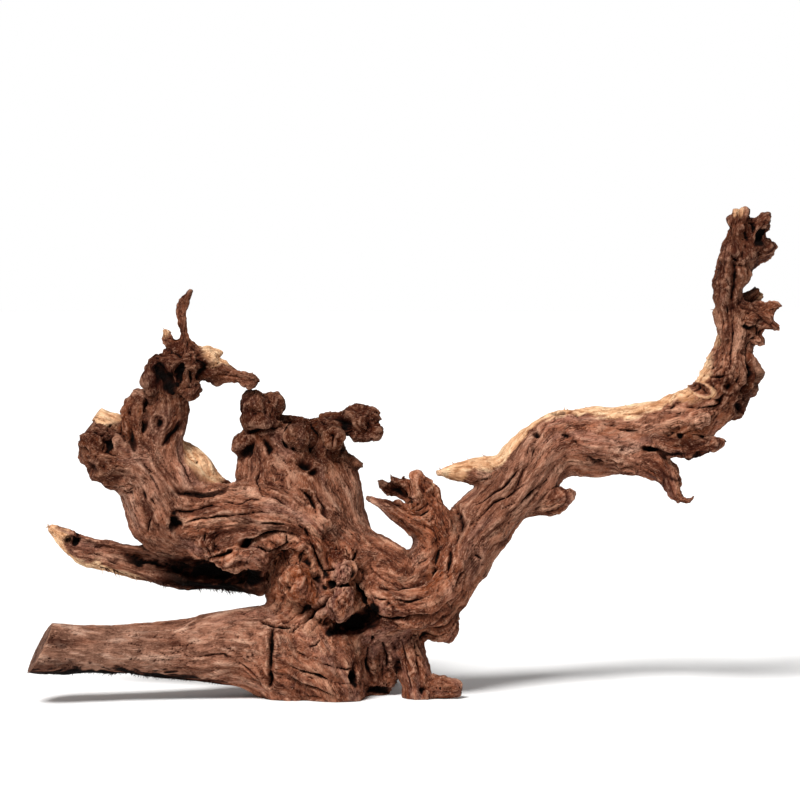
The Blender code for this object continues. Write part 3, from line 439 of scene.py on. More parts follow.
# Frayed edges: how many fibres, how long, the way they point, the depth y, how pale, and the line of (x, z).
FRAYS = [
    (190, 7, (0.35, -0.2, -0.9), 10, 0.0, [(-200, 115), (-160, 109), (-134, 106), (-104, 106)]),
    (24, 10, (0.5, -0.3, -0.8), 14, 0.1, [(-262, 128), (-240, 123), (-215, 117), (-190, 113)]),
    (5, 15, (0.25, -0.3, -0.9), 16, 1.0, [(-266, 130), (-256, 126), (-218, 118)]),
    (220, 4, (-0.3, -0.3, -0.8), -46, 0.0, [(-322, 34), (-260, 28), (-200, 22), (-140, 14)]),
    (14, 6, (-0.7, -0.2, 0.6), 0, 0.9, [(-318, 172), (-312, 162), (-300, 152)]),
    (8, 5, (-0.6, -0.1, 0.7), 4, 0.9, [(76, 228), (96, 236), (120, 243), (140, 247)]),
    (6, 5, (0.2, -0.1, 0.9), 20, 0.9, [(200, 288), (240, 290), (290, 298)]),
    (7, 6, (-0.7, -0.3, 0.6), -6, 0.9, [(322, 306), (334, 318), (342, 332), (348, 348)]),
    (14, 6, (-0.8, -0.3, 0.4), -20, 0.7, [(352, 380), (353, 400), (355, 420)]),
    (8, 4, (-0.6, -0.3, 0.6), -18, 0.8, [(-196, 372), (-190, 364), (-184, 372)]),
    (16, 6, (0.1, -0.4, -0.9), -16, 0.0, [(310, 247), (330, 246), (352, 252)]),
    (14, 5, (0.5, -0.4, -0.6), -20, 0.0, [(60, 12), (84, 12), (100, 12)]),
]

# The thinnest radius of a strand.
THINNEST = 1.5
# How finely strands, balls and torn fibres are divided, and how many pieces the skin makes.
PATH_STEP = 6.0
SIDES = 22
BALL_ROWS = 9
BALL_SIDES = 14
FRAY_RINGS = 5
FRAY_SIDES = 3
PIECES = 5
# Cells of the remeshes before the last one, in metres.
MASS_CELL = 2.4 * MM
BRANCH_CELL = 1.6 * MM
CARVED_CELL = 1.4 * MM
# Heights of the carving in grid steps: lumps, cords from wide to thin, flakes, round lumps and roughness.
LUMP = 2.4
SMALL_LUMP = 1.3
SWELL = 4.2
RIDGE = 2.0
CORD = 1.35
FIBRE = 0.3
FLAKE = 2.0
BILLOW = 3.4
SMALL_BILLOW = 1.3
ROUGHNESS = 0.5
# Heights of a knot's rim and rings and the depth of its eye, and the height of the scar's rim.
KNOT_RIM = 2.4
KNOT_RINGS = 0.5
KNOT_EYE = 4.6
SCAR_RIM = 1.8
# Depth of a mark over what the table says, and the swelling beside it: height, distance and half width.
MARK_DEPTH = 1.5
LIP_SHARE = 0.35
LIP_OUT = 3.5
LIP_WIDTH = 4.5
# The lattice of the grain: its cell, and the reach and weight with which a drawn line turns the grain.
WAY_CELL = 4.0
GUIDE_REACH = 9.0
GUIDE_WEIGHT = 1.6
# How much of the distance along a strand is kept in the place that colours are looked up by.
GRAIN_SHARE = 0.05
# Streaks along the grain, from wide to thin: width, distance walked each way, steps of the walk and seed.
STREAKS = ((18, 95, 10, 41), (8.5, 60, 10, 42), (5, 44, 9, 44), (3, 30, 9, 43))
# Cells along each side of the noise's lattice, and how many points are worked on at once.
LATTICE = 40
CHUNK = 8000


# Noise.


def value_noise(points, size, seed):
    """Random heights on a repeating cubic lattice, each cell blended across with a smooth step."""
    random = np.random.default_rng(seed)
    table = random.normal(0, 1, LATTICE**3).astype(np.float32)
    turn = np.linalg.qr(random.normal(0, 1, (3, 3)))[0].astype(np.float32)
    place = points @ turn / size
    base = np.floor(place)
    part = (place - base).astype(np.float32)
    ease = part * part * (3 - 2 * part)
    base = base.astype(np.int32) % LATTICE
    after = (base + 1) % LATTICE
    rows = [(base[:, k], after[:, k]) for k in range(3)]
    shares = [(1 - ease[:, k], ease[:, k]) for k in range(3)]
    total = np.zeros(len(points), np.float32)
    for i, j, k in np.ndindex(2, 2, 2):
        index = (rows[0][i] * LATTICE + rows[1][j]) * LATTICE + rows[2][k]
        total += shares[0][i] * shares[1][j] * shares[2][k] * table[index]
    return total


def noise_vector(points, size, seed, count=3):
    """Several noises side by side, with one seed after another."""
    return np.stack([value_noise(points, size, seed + k) for k in range(count)], axis=1)


def eased(value, low, high):
    """0 below low, 1 above high and a smooth step between."""
    t = np.clip((value - low) / (high - low), 0, 1)
    return t * t * (3 - 2 * t)


def evened(value):
    """The value with its mean taken off and its spread made one."""
    return (value - value.mean()) / value.std()


# Meshes.


def linked(name, data):
    """A new object in the scene's own collection."""
    obj = bpy.data.objects.new(name, data)
    bpy.context.scene.collection.objects.link(obj)
    return obj


def mesh_of(name, points, faces):
    """A mesh from arrays: points in rows of three, and a list of face arrays with one width each."""
    data = bpy.data.meshes.new(name)
    loops = np.concatenate([block.ravel() for block in faces]).astype(np.int32)
    totals = np.concatenate([np.full(len(block), block.shape[1]) for block in faces]).astype(np.int32)
    starts = np.concatenate([[0], np.cumsum(totals)[:-1]]).astype(np.int32)
    data.vertices.add(len(points))
    data.vertices.foreach_set("co", np.ascontiguousarray(points, np.float32).ravel())
    data.loops.add(len(loops))
    data.loops.foreach_set("vertex_index", loops)
    data.polygons.add(len(totals))
    data.polygons.foreach_set("loop_start", starts)
    data.update(calc_edges=True)
    data.validate()
    return data


def grid_faces(rows, columns, close):
    """Quads of a grid whose columns close on themselves when asked. Rows run first."""
    wide = columns if close else columns - 1
    row, column = np.meshgrid(np.arange(rows - 1), np.arange(wide), indexing="ij")
    after = (column + 1) % columns
    quads = np.stack([row * columns + column, row * columns + after, (row + 1) * columns + after,
                      (row + 1) * columns + column], axis=-1)
    return quads.reshape(-1, 4)


def smooth_path(rows):
    """Points on a Catmull-Rom curve through the rows, about PATH_STEP apart, with their radii."""
    rows = np.array(rows, float)
    padded = np.vstack([2 * rows[0] - rows[1], rows, 2 * rows[-1] - rows[-2]])
    padded[[0, -1], 3] = rows[[0, -1], 3]
    found = []
    for a, b, c, d in zip(padded, padded[1:], padded[2:], padded[3:]):
        count = max(2, int(np.ceil(np.linalg.norm(c[:3] - b[:3]) / PATH_STEP)))
        t = np.linspace(0, 1, count, endpoint=False)[:, None]
        found.append(0.5 * (2 * b + (c - a) * t + (2 * a - 5 * b + 4 * c - d) * t**2
                            + (3 * b - a - 3 * c + d) * t**3))
    path = np.vstack([*found, rows[-1:]])
    path[:, 3] = np.maximum(path[:, 3], THINNEST)
    return path


def unit(rows):
    """Vectors brought to length 1."""
    return rows / np.maximum(np.linalg.norm(rows, axis=-1, keepdims=True), 1e-9)


def ring_ways(across, deep, sides):
    """Ways round each step of a path: cos angle * across + sin angle * deep."""
    angle = np.arange(sides) * 2 * np.pi / sides
    return np.cos(angle)[:, None] * across[:, None] + np.sin(angle)[:, None] * deep[:, None]


def cap(start, sides, tip, turned=False):
    """Triangles from a ring of points to its tip, the other way round when turned."""
    side = np.arange(sides)
    after = (side + 1) % sides
    pair = (after, side) if turned else (side, after)
    return np.stack([start + pair[0], start + pair[1], np.full(sides, tip)], axis=1)


def strand(depth, rows):
    """A tube: at each step of the path a ring of radius r stands square to it, squashed along y by depth.

    Ring point = centre + r (cos angle * across + sin angle * deep). Each end closes on one point."""
    path = smooth_path(rows)
    squash = np.array((1, depth, 1))
    centre = path[:, :3] / squash
    along = unit(np.gradient(centre, axis=0))
    across = unit(np.cross(along, (0.0, 1.0, 0.0)))
    ring = ring_ways(across, np.cross(across, along), SIDES)
    wall = (centre[:, None] + path[:, 3][:, None, None] * ring).reshape(-1, 3)
    points = np.vstack([wall, centre[[0, -1]]]) * squash
    caps = np.vstack([cap(0, SIDES, len(wall), True), cap(len(wall) - SIDES, SIDES, len(wall) + 1)])
    return points, grid_faces(len(path), SIDES, True), caps


def ball(centres, radii):
    """Balls: latitude runs down the rows and longitude round them, radius times the unit direction."""
    pole = 0.06
    lat = np.linspace(pole, np.pi - pole, BALL_ROWS)
    lon = np.arange(BALL_SIDES) * 2 * np.pi / BALL_SIDES
    lat, lon = np.meshgrid(lat, lon, indexing="ij")
    wall = np.stack([np.sin(lat) * np.cos(lon), np.sin(lat) * np.sin(lon), np.cos(lat)], axis=-1)
    wall = wall.reshape(-1, 3)
    way = np.vstack([wall, (0, 0, 1), (0, 0, -1)])
    quads = grid_faces(BALL_ROWS, BALL_SIDES, True)[:, ::-1]
    last = len(wall) - BALL_SIDES
    caps = np.vstack([cap(0, BALL_SIDES, len(wall)), cap(last, BALL_SIDES, len(wall) + 1, True)])
    points = (centres[:, None] + radii[:, None, None] * way).reshape(-1, 3)
    shift = (np.arange(len(centres)) * len(way))[:, None, None]
    return points, (quads + shift).reshape(-1, 4), (caps + shift).reshape(-1, 3)


def burls():
    """Each burl is a core with lumps spread evenly over it, each a little off its place. Bosses are plain."""
    core, out = 0.86, 0.58
    random = np.random.default_rng(7)
    turn = np.pi * (3 - np.sqrt(5)) * np.arange(BURL_LUMPS)
    height = 1 - 2 * (np.arange(BURL_LUMPS) + 0.5) / BURL_LUMPS
    flat = np.sqrt(1 - height**2)
    even = np.stack([flat * np.cos(turn), flat * np.sin(turn), height], axis=1)
    rows = np.array(BURLS, float)
    ways = even + random.normal(0, 0.2, (len(rows), BURL_LUMPS, 3))
    lumps = (rows[:, None, :3] + ways * rows[:, None, 3:] * out).reshape(-1, 3)
    sizes = (rows[:, 3:] * random.uniform(0.34, 0.52, (len(rows), BURL_LUMPS))).ravel()
    plain = np.array(BOSSES, float)
    centres = np.vstack([rows[:, :3], lumps, plain[:, :3]])
    return ball(centres, np.concatenate([rows[:, 3] * core, sizes, plain[:, 3]]))


def shells(parts):
    """Several closed shells, (points, quads, triangles) each, as one set of arrays in metres."""
    start = 0
    points, quads, triangles = [], [], []
    for shell_points, shell_quads, shell_triangles in parts:
        points.append(shell_points)
        quads.append(shell_quads + start)
        triangles.append(shell_triangles + start)
        start += len(shell_points)
    return np.vstack(points) * GRID, [np.vstack(quads), np.vstack(triangles)]


def baked(obj):
    """The object with its modifiers applied."""
    graph = bpy.context.evaluated_depsgraph_get()
    graph.update()
    data = bpy.data.meshes.new_from_object(obj.evaluated_get(graph), depsgraph=graph)
    obj.modifiers.clear()
    obj.data = data
    return obj


def fused(obj, voxel, smoothing):
    """Overlapping shells become one skin of even cells, and the creases between them are eased."""
    remesh = obj.modifiers.new("fuse", "REMESH")
    remesh.mode = "VOXEL"
    remesh.voxel_size = voxel
    if smoothing:
        ease = obj.modifiers.new("ease", "SMOOTH")
        ease.factor = 0.5
        ease.iterations = smoothing
    return baked(obj)


def joined(obj, points, faces):
    """Adds more shells to the object's mesh."""
    old_points, old_faces = arrays_of(obj.data)
    shifted = [block + len(old_points) for block in faces]
    obj.data = mesh_of(obj.name, np.vstack([old_points, points]), [old_faces, *shifted])


def arrays_of(data):
    """Points and quads of a remeshed skin. Its faces are all quads."""
    points = np.empty(len(data.vertices) * 3, np.float32)
    data.vertices.foreach_get("co", points)
    loops = np.empty(len(data.loops), np.int32)
    data.loops.foreach_get("vertex_index", loops)
    return points.reshape(-1, 3), loops.reshape(-1, 4)


def normals_of(data):
    """The normal at each point."""
    normals = np.empty(len(data.vertices) * 3, np.float32)
    data.vertex_normals.foreach_get("vector", normals)
    return normals.reshape(-1, 3)


def put_points(data, points):
    """Moves the mesh's points to new places."""
    data.vertices.foreach_set("co", np.ascontiguousarray(points, np.float32).ravel())
    data.update()


def cut(obj, cutter):
    """Takes the cutter's space out of the object, and removes the cutter."""
    boolean = obj.modifiers.new("cut", "BOOLEAN")
    boolean.operation = "DIFFERENCE"
    boolean.object = cutter
    baked(obj)
    bpy.data.objects.remove(cutter)


# The way the grain runs.


def strand_samples():
    """Steps down every strand's centreline: place, radius, the way it runs and how far along it is."""
    rows = []
    for _, table in [*MASSES.values(), *BRANCHES.values()]:
        path = smooth_path(table)[::2]
        run = np.concatenate([[0.0], np.cumsum(np.linalg.norm(np.diff(path[:, :3], axis=0), axis=1))])
        rows.append(np.column_stack([path, unit(np.gradient(path[:, :3], axis=0)), run]))
    return np.vstack(rows).astype(np.float32)


def bells(places, centres, radii, steep):
    """Weights of the centres at each place, 1 for the nearest: exp(-steep (near - nearest)).

    Near is the squared distance over the squared radius."""
    square = (places**2).sum(1)[:, None] + (centres**2).sum(1) - 2 * places @ centres.T
    near = square / radii**2
    return np.exp(-steep * (near - near.min(axis=1, keepdims=True)))


def bent_round_knots(points, way):
    """Flow past a round post: way (1 + s) - 2 s (way . out) out, where s is (eye / distance) squared.

    Inside the eye the grain runs in rings round it. The bend fades out with distance."""
    for place, eye, reach, _ in KNOTS:
        offset = points - np.array(place, np.float32)
        distance = np.linalg.norm(offset, axis=1)
        near = distance < eye * reach * 2.2
        if not near.any():
            continue
        local = offset[near]
        facing = unit(np.array([0, place[1], 0], np.float32))
        flat = local - (local @ facing)[:, None] * facing
        across = np.maximum(np.linalg.norm(flat, axis=1), 0.5)[:, None]
        out = flat / across
        strength = (eye / across) ** 2
        passing = way[near] * (1 + strength) - 2 * strength * (way[near] * out).sum(1, keepdims=True) * out
        ring = np.cross(out, facing)
        ring *= np.sign((ring * way[near]).sum(1, keepdims=True) + 1e-6)
        bent = np.where(across < eye, ring, unit(passing))
        fade = np.exp(-((distance[near] / (eye * reach)) ** 2))[:, None]
        way[near] = unit(way[near] * (1 - fade) + bent * fade)
    return way


def drawn_ways(low, shape):
    """The way that the drawn lines run, as a tensor on a lattice of the front view, 0 far from any line.

    Short wide marks are holes, which have no way of their own."""
    rows = []
    for width, *_, line in [*MARKS, *FOLDS]:
        if len(line) < 3 and width > 3:
            continue
        line = np.array(line, float)
        for a, b in zip(line, line[1:]):
            count = max(1, int(np.linalg.norm(b - a) / WAY_CELL))
            share = (np.arange(count) + 0.5) / count
            rows.append(np.column_stack([a + share[:, None] * (b - a), np.tile(unit(b - a), (count, 1))]))
    rows = np.vstack(rows).astype(np.float32)
    x = np.arange(shape[0]) * WAY_CELL + low[0]
    z = np.arange(shape[2]) * WAY_CELL + low[2]
    x, z = np.meshgrid(x, z, indexing="ij")
    flat = np.stack([x.ravel(), z.ravel()], axis=1).astype(np.float32)
    outer = np.stack([rows[:, 2] ** 2, rows[:, 2] * rows[:, 3], rows[:, 3] ** 2], axis=1)
    weight = np.exp(-((flat[:, None] - rows[:, :2]) ** 2).sum(2) / GUIDE_REACH**2)
    found = weight @ outer
    found /= np.maximum(weight.sum(axis=1, keepdims=True), 1)
    tensor = np.zeros((len(flat), 3, 3), np.float32)
    tensor[:, 0, 0] = found[:, 0]
    tensor[:, 0, 2] = found[:, 1]
    tensor[:, 2, 0] = found[:, 1]
    tensor[:, 2, 2] = found[:, 2]
    return tensor.reshape(shape[0], shape[2], 3, 3)


def grain_lattice(points):
    """The way of the grain on a lattice of the space near the skin.

    Each lattice point takes the mean of the outer products of the strands' directions, weighted by a bell
    of its distance over their radius, and those of the drawn lines near it. The way is the strongest axis of
    that matrix, strayed a little by noise and bent round the knots."""
    low = points.min(axis=0) - 3 * WAY_CELL
    shape = np.ceil((points.max(axis=0) + 3 * WAY_CELL - low) / WAY_CELL).astype(int) + 1
    cells = np.floor((points - low) / WAY_CELL).astype(int)
    busy = np.zeros(shape, bool)
    for step in np.ndindex(4, 4, 4):
        at = np.clip(cells + (np.array(step) - 1), 0, shape - 1)
        busy[at[:, 0], at[:, 1], at[:, 2]] = True
    found = np.argwhere(busy)
    places = (found * WAY_CELL + low).astype(np.float32)
    samples = strand_samples()[:, :7].copy()
    centre, radius, heading = samples[:, :3], samples[:, 3], samples[:, 4:]
    outer = np.einsum("si,sj->sij", heading, heading).reshape(-1, 9)
    drawn = drawn_ways(low, shape)
    way = np.empty_like(places)
    for start in range(0, len(places), CHUNK):
        part = slice(start, start + CHUNK)
        weight = bells(places[part], centre, radius, 3.0)
        tensor = ((weight @ outer) / weight.sum(axis=1, keepdims=True)).reshape(-1, 3, 3)
        tensor += GUIDE_WEIGHT * drawn[found[part, 0], found[part, 2]]
        way[part] = np.linalg.eigh(tensor)[1][:, :, 2]
    way = unit(way + 0.3 * noise_vector(places, 34, 51))
    way = bent_round_knots(places, way)
    lattice = np.zeros((*shape, 3), np.float32)
    lattice[busy] = way
    return lattice.reshape(-1, 3), low.astype(np.float32), shape


def way_at(lattice, places, heading):
    """The way of the grain at each place, on the side that agrees with its heading."""
    table, low, shape = lattice
    place = (places - low) / WAY_CELL
    base = np.floor(place)
    part = place - base
    base = np.clip(base.astype(np.int32), 0, shape - 2)
    total = 1e-3 * heading
    shares = [(1 - part[:, k], part[:, k]) for k in range(3)]
    first = (base[:, 0] * shape[1] + base[:, 1]) * shape[2] + base[:, 2]
    for i, j, k in np.ndindex(2, 2, 2):
        found = table[first + (i * shape[1] + j) * shape[2] + k]
        share = shares[0][i] * shares[1][j] * shares[2][k]
        share *= np.where(np.einsum("pi,pi->p", found, heading) < 0, -1, 1)
        total += found * share[:, None]
    return unit(total).astype(np.float32)


def drawn_out(points, lattice, size, reach, steps, seed):
    """Noise averaged along the grain, so that its blots become streaks.

    Each point walks both ways along the grain in equal steps. Its value is the mean of the noise met on the
    way, weighted by a raised cosine of how far it has gone."""
    start = way_at(lattice, points, np.broadcast_to(np.array((0.3, 0.2, 0.9), np.float32), points.shape))
    total = value_noise(points, size, seed)
    for side in (1, -1):
        heading = start * side
        place = points.copy()
        for step in range(1, steps + 1):
            place += heading * (reach / steps)
            total += value_noise(place, size, seed) * (0.5 + 0.5 * np.cos(np.pi * step / (steps + 1)))
            heading = way_at(lattice, place, heading)
    return evened(total)


def grain_place(points):
    """Where each point lies in wood whose grain is straight: its offset from the strand's centreline, plus a
    small share of how far along the strand it is, laid along the strand's way. Strands blend by bells."""
    samples = strand_samples()
    centre, radius, way, run = samples[:, :3], samples[:, 3], samples[:, 4:7], samples[:, 7]
    found = np.empty_like(points)
    for start in range(0, len(points), CHUNK):
        chunk = points[start:start + CHUNK]
        weight = bells(chunk, centre, radius, 3.5)
        weight /= weight.sum(axis=1, keepdims=True)
        along = weight * (chunk @ way.T - (centre * way).sum(1))
        axis = weight @ centre + along @ way
        length = weight @ (run[:, None] * way) + along @ way
        found[start:start + CHUNK] = chunk - axis + GRAIN_SHARE * length
    return found


# The relief.


def place_mix(points):
    """Quiet, gnarled, greyed and stained at each point: the values of PLACES, weighted by bells."""
    rows = np.array(PLACES, np.float32)
    away = ((points[:, None, [0, 2]] - rows[:, :2]) ** 2).sum(2) / rows[:, 2] ** 2
    weight = np.exp(-1.6 * (away - away.min(axis=1, keepdims=True)))
    return (weight @ rows[:, 3:]) / weight.sum(axis=1, keepdims=True)


def line_distance(points, line):
    """Distance in the front view from each point to a line of (x, z), how far along it and on which side."""
    flat = points[:, [0, 2]]
    line = np.array(line, np.float32)
    run = np.concatenate([[0.0], np.cumsum(np.linalg.norm(np.diff(line, axis=0), axis=1))])
    nearest = np.full(len(points), 1e4, np.float32)
    share = np.zeros(len(points), np.float32)
    side = np.zeros(len(points), np.float32)
    for a, b, start, end in zip(line, line[1:], run, run[1:]):
        step = b - a
        t = np.clip((flat - a) @ step / (step @ step), 0, 1)
        offset = flat - a - t[:, None] * step
        away = np.linalg.norm(offset, axis=1)
        closer = away < nearest
        nearest = np.where(closer, away, nearest)
        share = np.where(closer, (start + t * (end - start)) / run[-1], share)
        side = np.where(closer, np.sign(step[0] * offset[:, 1] - step[1] * offset[:, 0]), side)
    return nearest, share, side


def tapered(share, blunt):
    """How full a drawn line is along its length: 1 at its middle and about a third at its ends."""
    return np.sqrt(np.maximum(np.sin(np.pi * (blunt + (1 - 2 * blunt) * share)), 0))


def front_marks(points, normals, fibre):
    """Depth and painted darkness of the marks, on faces that look forward or down: painted shade in checks,
    creases and holes, under overhangs and along undersides, and a few flat dark patches on the log.

    The section is a bell of the distance over the half width, which narrows towards both ends, with a round
    swelling along one side, as where one fold of wood lies over the next. Thin marks come and go."""
    moved = points + noise_vector(points, 15, 71) * 1.5
    uneven = 1 + 0.4 * value_noise(points, 7, 74)
    patchy = 0.15 + 0.85 * eased(value_noise(points, 12, 78), -0.7, 0.6)
    depth = np.zeros(len(points), np.float32)
    lip = np.zeros(len(points), np.float32)
    dark = np.zeros(len(points), np.float32)
    for width, deep, shade, line in MARKS:
        rows = np.array(line, np.float32)
        reach = width * 4 + 4
        low, high = rows.min(axis=0) - reach, rows.max(axis=0) + reach
        near = np.flatnonzero(((moved[:, [0, 2]] > low) & (moved[:, [0, 2]] < high)).all(axis=1))
        distance, share, side = line_distance(moved[near], line)
        taper = tapered(share, 0.04)
        half = width * (0.25 + 0.75 * taper) * np.maximum(uneven[near], 0.35)
        away = distance / half
        thin = width < 3
        broken = np.where(thin, patchy[near], 0.7)
        depth[near] = np.maximum(depth[near], deep * MARK_DEPTH * broken * taper * np.exp(-(away**2)))
        swelling = np.exp(-(((distance - half - LIP_OUT) / LIP_WIDTH) ** 2))
        lip[near] = np.maximum(lip[near], LIP_SHARE * deep * taper * (side > 0) * swelling)
        strength = shade * taper * np.where(thin, patchy[near], min(1, 0.6 + 0.06 * width))
        dark[near] = np.maximum(dark[near], strength * eased(1.3 - away + 0.3 * fibre[near], 0, 1.0))
    under = np.clip(-normals[:, 2], 0, 1) * (normals[:, 1] < 0.4)
    facing = np.clip(0.25 - normals[:, 1] * 2.5 + under, 0, 1)
    return (depth - lip) * facing, dark * facing


def hollow_shade(points):
    """How dark the painted shade in the cut hollows is: full inside and fading out over the rim.

    It goes by the distance to the nearest step of the hollow's centreline over its radius."""
    dark = np.zeros(len(points), np.float32)
    for name, strength in SHADES.items():
        depth, rows = HOLLOWS[name]
        squash = np.array((1, depth, 1))
        path = smooth_path(rows)
        low, high = path[:, :3].min(0) - 30, path[:, :3].max(0) + 30
        near = np.flatnonzero(((points > low) & (points < high)).all(axis=1))
        away = np.full(len(near), 9.0)
        for centre, radius in zip(path[:, :3], path[:, 3]):
            away = np.minimum(away, np.linalg.norm((points[near] - centre) / squash, axis=1) / radius)
        away += 0.1 * value_noise(points[near], 5, 82)
        dark[near] = np.maximum(dark[near], strength * eased(1.45 - away, 0, 0.8))
    return dark


def front_folds(points, normals):
    """Height of the raised folds: half a circle over each line, h sqrt(1 - (distance / width) squared)."""
    moved = points + noise_vector(points, 12, 75) * 1.8
    height = np.zeros(len(points), np.float32)
    for width, high, line in FOLDS:
        distance, share, _ = line_distance(moved, line)
        round_top = np.sqrt(np.clip(1 - (distance / width) ** 2, 0, 1))
        height = np.maximum(height, high * tapered(share, 0.03) * round_top)
    return height * np.clip(-normals[:, 1] * 2.0, 0, 1)


def knot_relief(points, normals):
    """Height and darkness of the knots: a rolled rim, a sunk dark eye and fine rings.

    They go by the distance in the front or back view. The rings break up where the eye is shallow."""
    height = np.zeros(len(points), np.float32)
    dark = np.zeros(len(points), np.float32)
    for place, eye, _, strength in KNOTS:
        offset = points - np.array(place, np.float32)
        close = (np.abs(offset) < (3 * eye, 26, 3 * eye)).all(axis=1)
        near = np.flatnonzero(close & (normals[:, 1] * place[1] > -0.05 * abs(place[1])))
        flat = offset[near][:, [0, 2]] + noise_vector(points[near], 6, 85, 2)
        away = np.hypot(flat[:, 0] * 1.2, flat[:, 1] * 0.9) / eye
        facing = np.clip(np.abs(normals[near, 1]) * 1.8, 0, 1)
        rim = KNOT_RIM * np.exp(-(((away - 0.95) / 0.26) ** 2)) - KNOT_EYE * np.exp(-((away / 0.42) ** 2))
        broken = np.maximum(eased(value_noise(points[near], 9, 87), -0.6, 1.0), strength)
        rings = (0.4 + 0.6 * strength) * np.exp(-((away / 1.4) ** 2)) * np.cos(away * 14) * broken
        height[near] += (rim * strength + KNOT_RINGS * rings) * facing
        shade = np.maximum(strength * eased(0.75 - away, 0, 0.5), -0.5 * rings)
        dark[near] = np.maximum(dark[near], shade * facing)
    return height, dark


def billow(points, size, seed):
    """The size of a noise whose place is itself strayed by noise: round lumps with sharp creases between."""
    stray = noise_vector(points, size * 0.8, seed + 1)
    return np.minimum(np.abs(value_noise(points + stray * size * 0.22, size, seed)) * 1.5, 1.6)


def crease(value, width):
    """1 on the line where the value changes sign, falling off over the width."""
    return np.exp(-np.abs(value) / width)


def cords(streak, top):
    """Round cords side by side: the root of the streak's size, so creases are steep and tops are broad."""
    return np.sqrt(np.minimum(np.abs(streak), top) / top) - 0.7


def flaked(value, step):
    """The value in layers: nearly flat for most of each step, then a short steep edge."""
    whole = np.floor(value / step)
    part = value / step - whole
    return step * (whole + 0.2 * part + 0.8 * eased(part, 0.72, 1.0))


def relief(points, normals, lattice, mix, bare):
    """The height of the carved surface, and the streaks and the dark places that the colours follow: painted
    shade in creases, fissures, marks and hollows, and the dark knot eyes.

    Lumps and slow swells, then cords along the grain at three widths, flakes, round lumps where the wood is
    gnarled, knots, folds, marks and the scar. Quiet places and bare sapwood stay smoother."""
    quiet, gnarled = mix[:, 0], mix[:, 1]
    lively = (1 - quiet) * (1 - 0.65 * bare)
    lumps = value_noise(points, 34, 31) * LUMP + value_noise(points, 17, 32) * SMALL_LUMP
    swell, ridge, cord, fibre = (drawn_out(points, lattice, *streak) for streak in STREAKS)
    opening = eased(value_noise(points, 42, 33), -0.9, 0.5)
    narrow = eased(value_noise(points, 24, 34), -0.7, 0.6)
    height = lumps * (0.2 + 0.8 * lively)
    wide = cords(swell, 1.5) * SWELL * (0.05 + 0.95 * lively)
    height += wide * (0.3 + 0.7 * opening) * (1 - 0.6 * gnarled)
    middle = cords(ridge, 1.2) * RIDGE * (0.07 + 0.93 * lively)
    height += middle * (0.25 + 0.75 * narrow) * (1 - 0.3 * gnarled)
    height += cords(cord, 1.2) * CORD * (0.12 + 0.88 * lively)
    fissure = crease(fibre, 0.18) * eased(value_noise(points, 13, 35), -0.4, 0.7)
    fissure = np.maximum(fissure, crease(cord, 0.14) * eased(value_noise(points, 22, 36), -0.2, 0.6) * quiet)
    height += fibre * FIBRE - fissure * (0.5 + 0.5 * quiet)
    flakes = flaked(value_noise(points, 20, 63) + 0.3 * ridge, 0.9)
    height += flakes * FLAKE * lively * (0.35 + 0.65 * gnarled)
    large, small = billow(points, 17, 62) - 0.8, billow(points, 8, 66) - 0.8
    height += large * BILLOW * gnarled + small * SMALL_BILLOW * gnarled
    height += value_noise(points, 4.5, 67) * ROUGHNESS * lively
    depth, dark = front_marks(points, normals, fibre)
    knots, eyes = knot_relief(points, normals)
    height += knots + front_folds(points, normals) - depth
    scar = scar_distance(points)
    rim, hole = np.exp(-(((scar - 1) / 0.25) ** 2)), np.exp(-((scar / 0.6) ** 2))
    height += (SCAR_RIM * rim - hole) * (points[:, 1] < 20)
    # Painted shade along the creases between the cords and in the fissures.
    lines = np.maximum(crease(swell, 0.26) * opening, 0.8 * crease(ridge, 0.32) * narrow)
    lines = np.maximum(lines, 0.5 * crease(cord, 0.4)) * lively
    lines = np.maximum(lines, (0.75 + 0.25 * quiet) * fissure * (1 - 0.7 * bare))
    return height, ridge, fibre, np.maximum.reduce([dark, eyes, hollow_shade(points), lines * 0.7])


def moved_out(data, height):
    """Each point moved along its normal by a height in grid steps."""
    put_points(data, arrays_of(data)[0] + normals_of(data) * (height * GRID)[:, None])


def sawn(data):
    """Points beyond a saw's plane, within its reach, are drawn back onto it, a little towards its middle."""
    drawn_in = 0.94
    points = arrays_of(data)[0].astype(np.float64)
    for point, way, reach in SAW_CUTS.values():
        middle = np.array(point) * GRID
        way = unit(np.array(way))
        offset = points - middle
        beyond = offset @ way
        inside = (beyond > 0) & (np.linalg.norm(offset, axis=1) < reach * GRID)
        points[inside] = middle + (offset[inside] - beyond[inside, None] * way) * drawn_in
    put_points(data, points)


def floored(obj):
    """Cuts the root flat underneath, at the floor's height, with a block larger than itself."""
    size = 0.9
    corner = np.array([(x, y, z) for x in (-1, 1) for y in (-1, 1) for z in (-2, 0)], float) * size / 2
    faces = np.array([(0, 1, 3, 2), (4, 6, 7, 5), (0, 4, 5, 1), (2, 3, 7, 6), (0, 2, 6, 4), (1, 5, 7, 3)])
    corner[:, 2] += FLOOR * GRID
    cut(obj, linked("saw_block", mesh_of("saw_block", corner, [faces])))


# Attributes for the material.


def neighbour_mean(edges, counts, values):
    """The mean of each vertex's neighbours."""
    a, b = edges
    total = np.empty_like(values)
    for k in range(values.shape[1]):
        total[:, k] = np.bincount(a, values[b, k], len(counts)) + np.bincount(b, values[a, k], len(counts))
    return total / counts[:, None]


def hollow_at(points, normals, edges, counts, rounds):
    """How far the skin lies below its own smoothed copy, in grid steps: above 0 in a crease."""
    smooth = points.astype(np.float64)
    for _ in range(rounds):
        smooth = 0.3 * smooth + 0.7 * neighbour_mean(edges, counts, smooth)
    return ((smooth - points) * normals).sum(1)


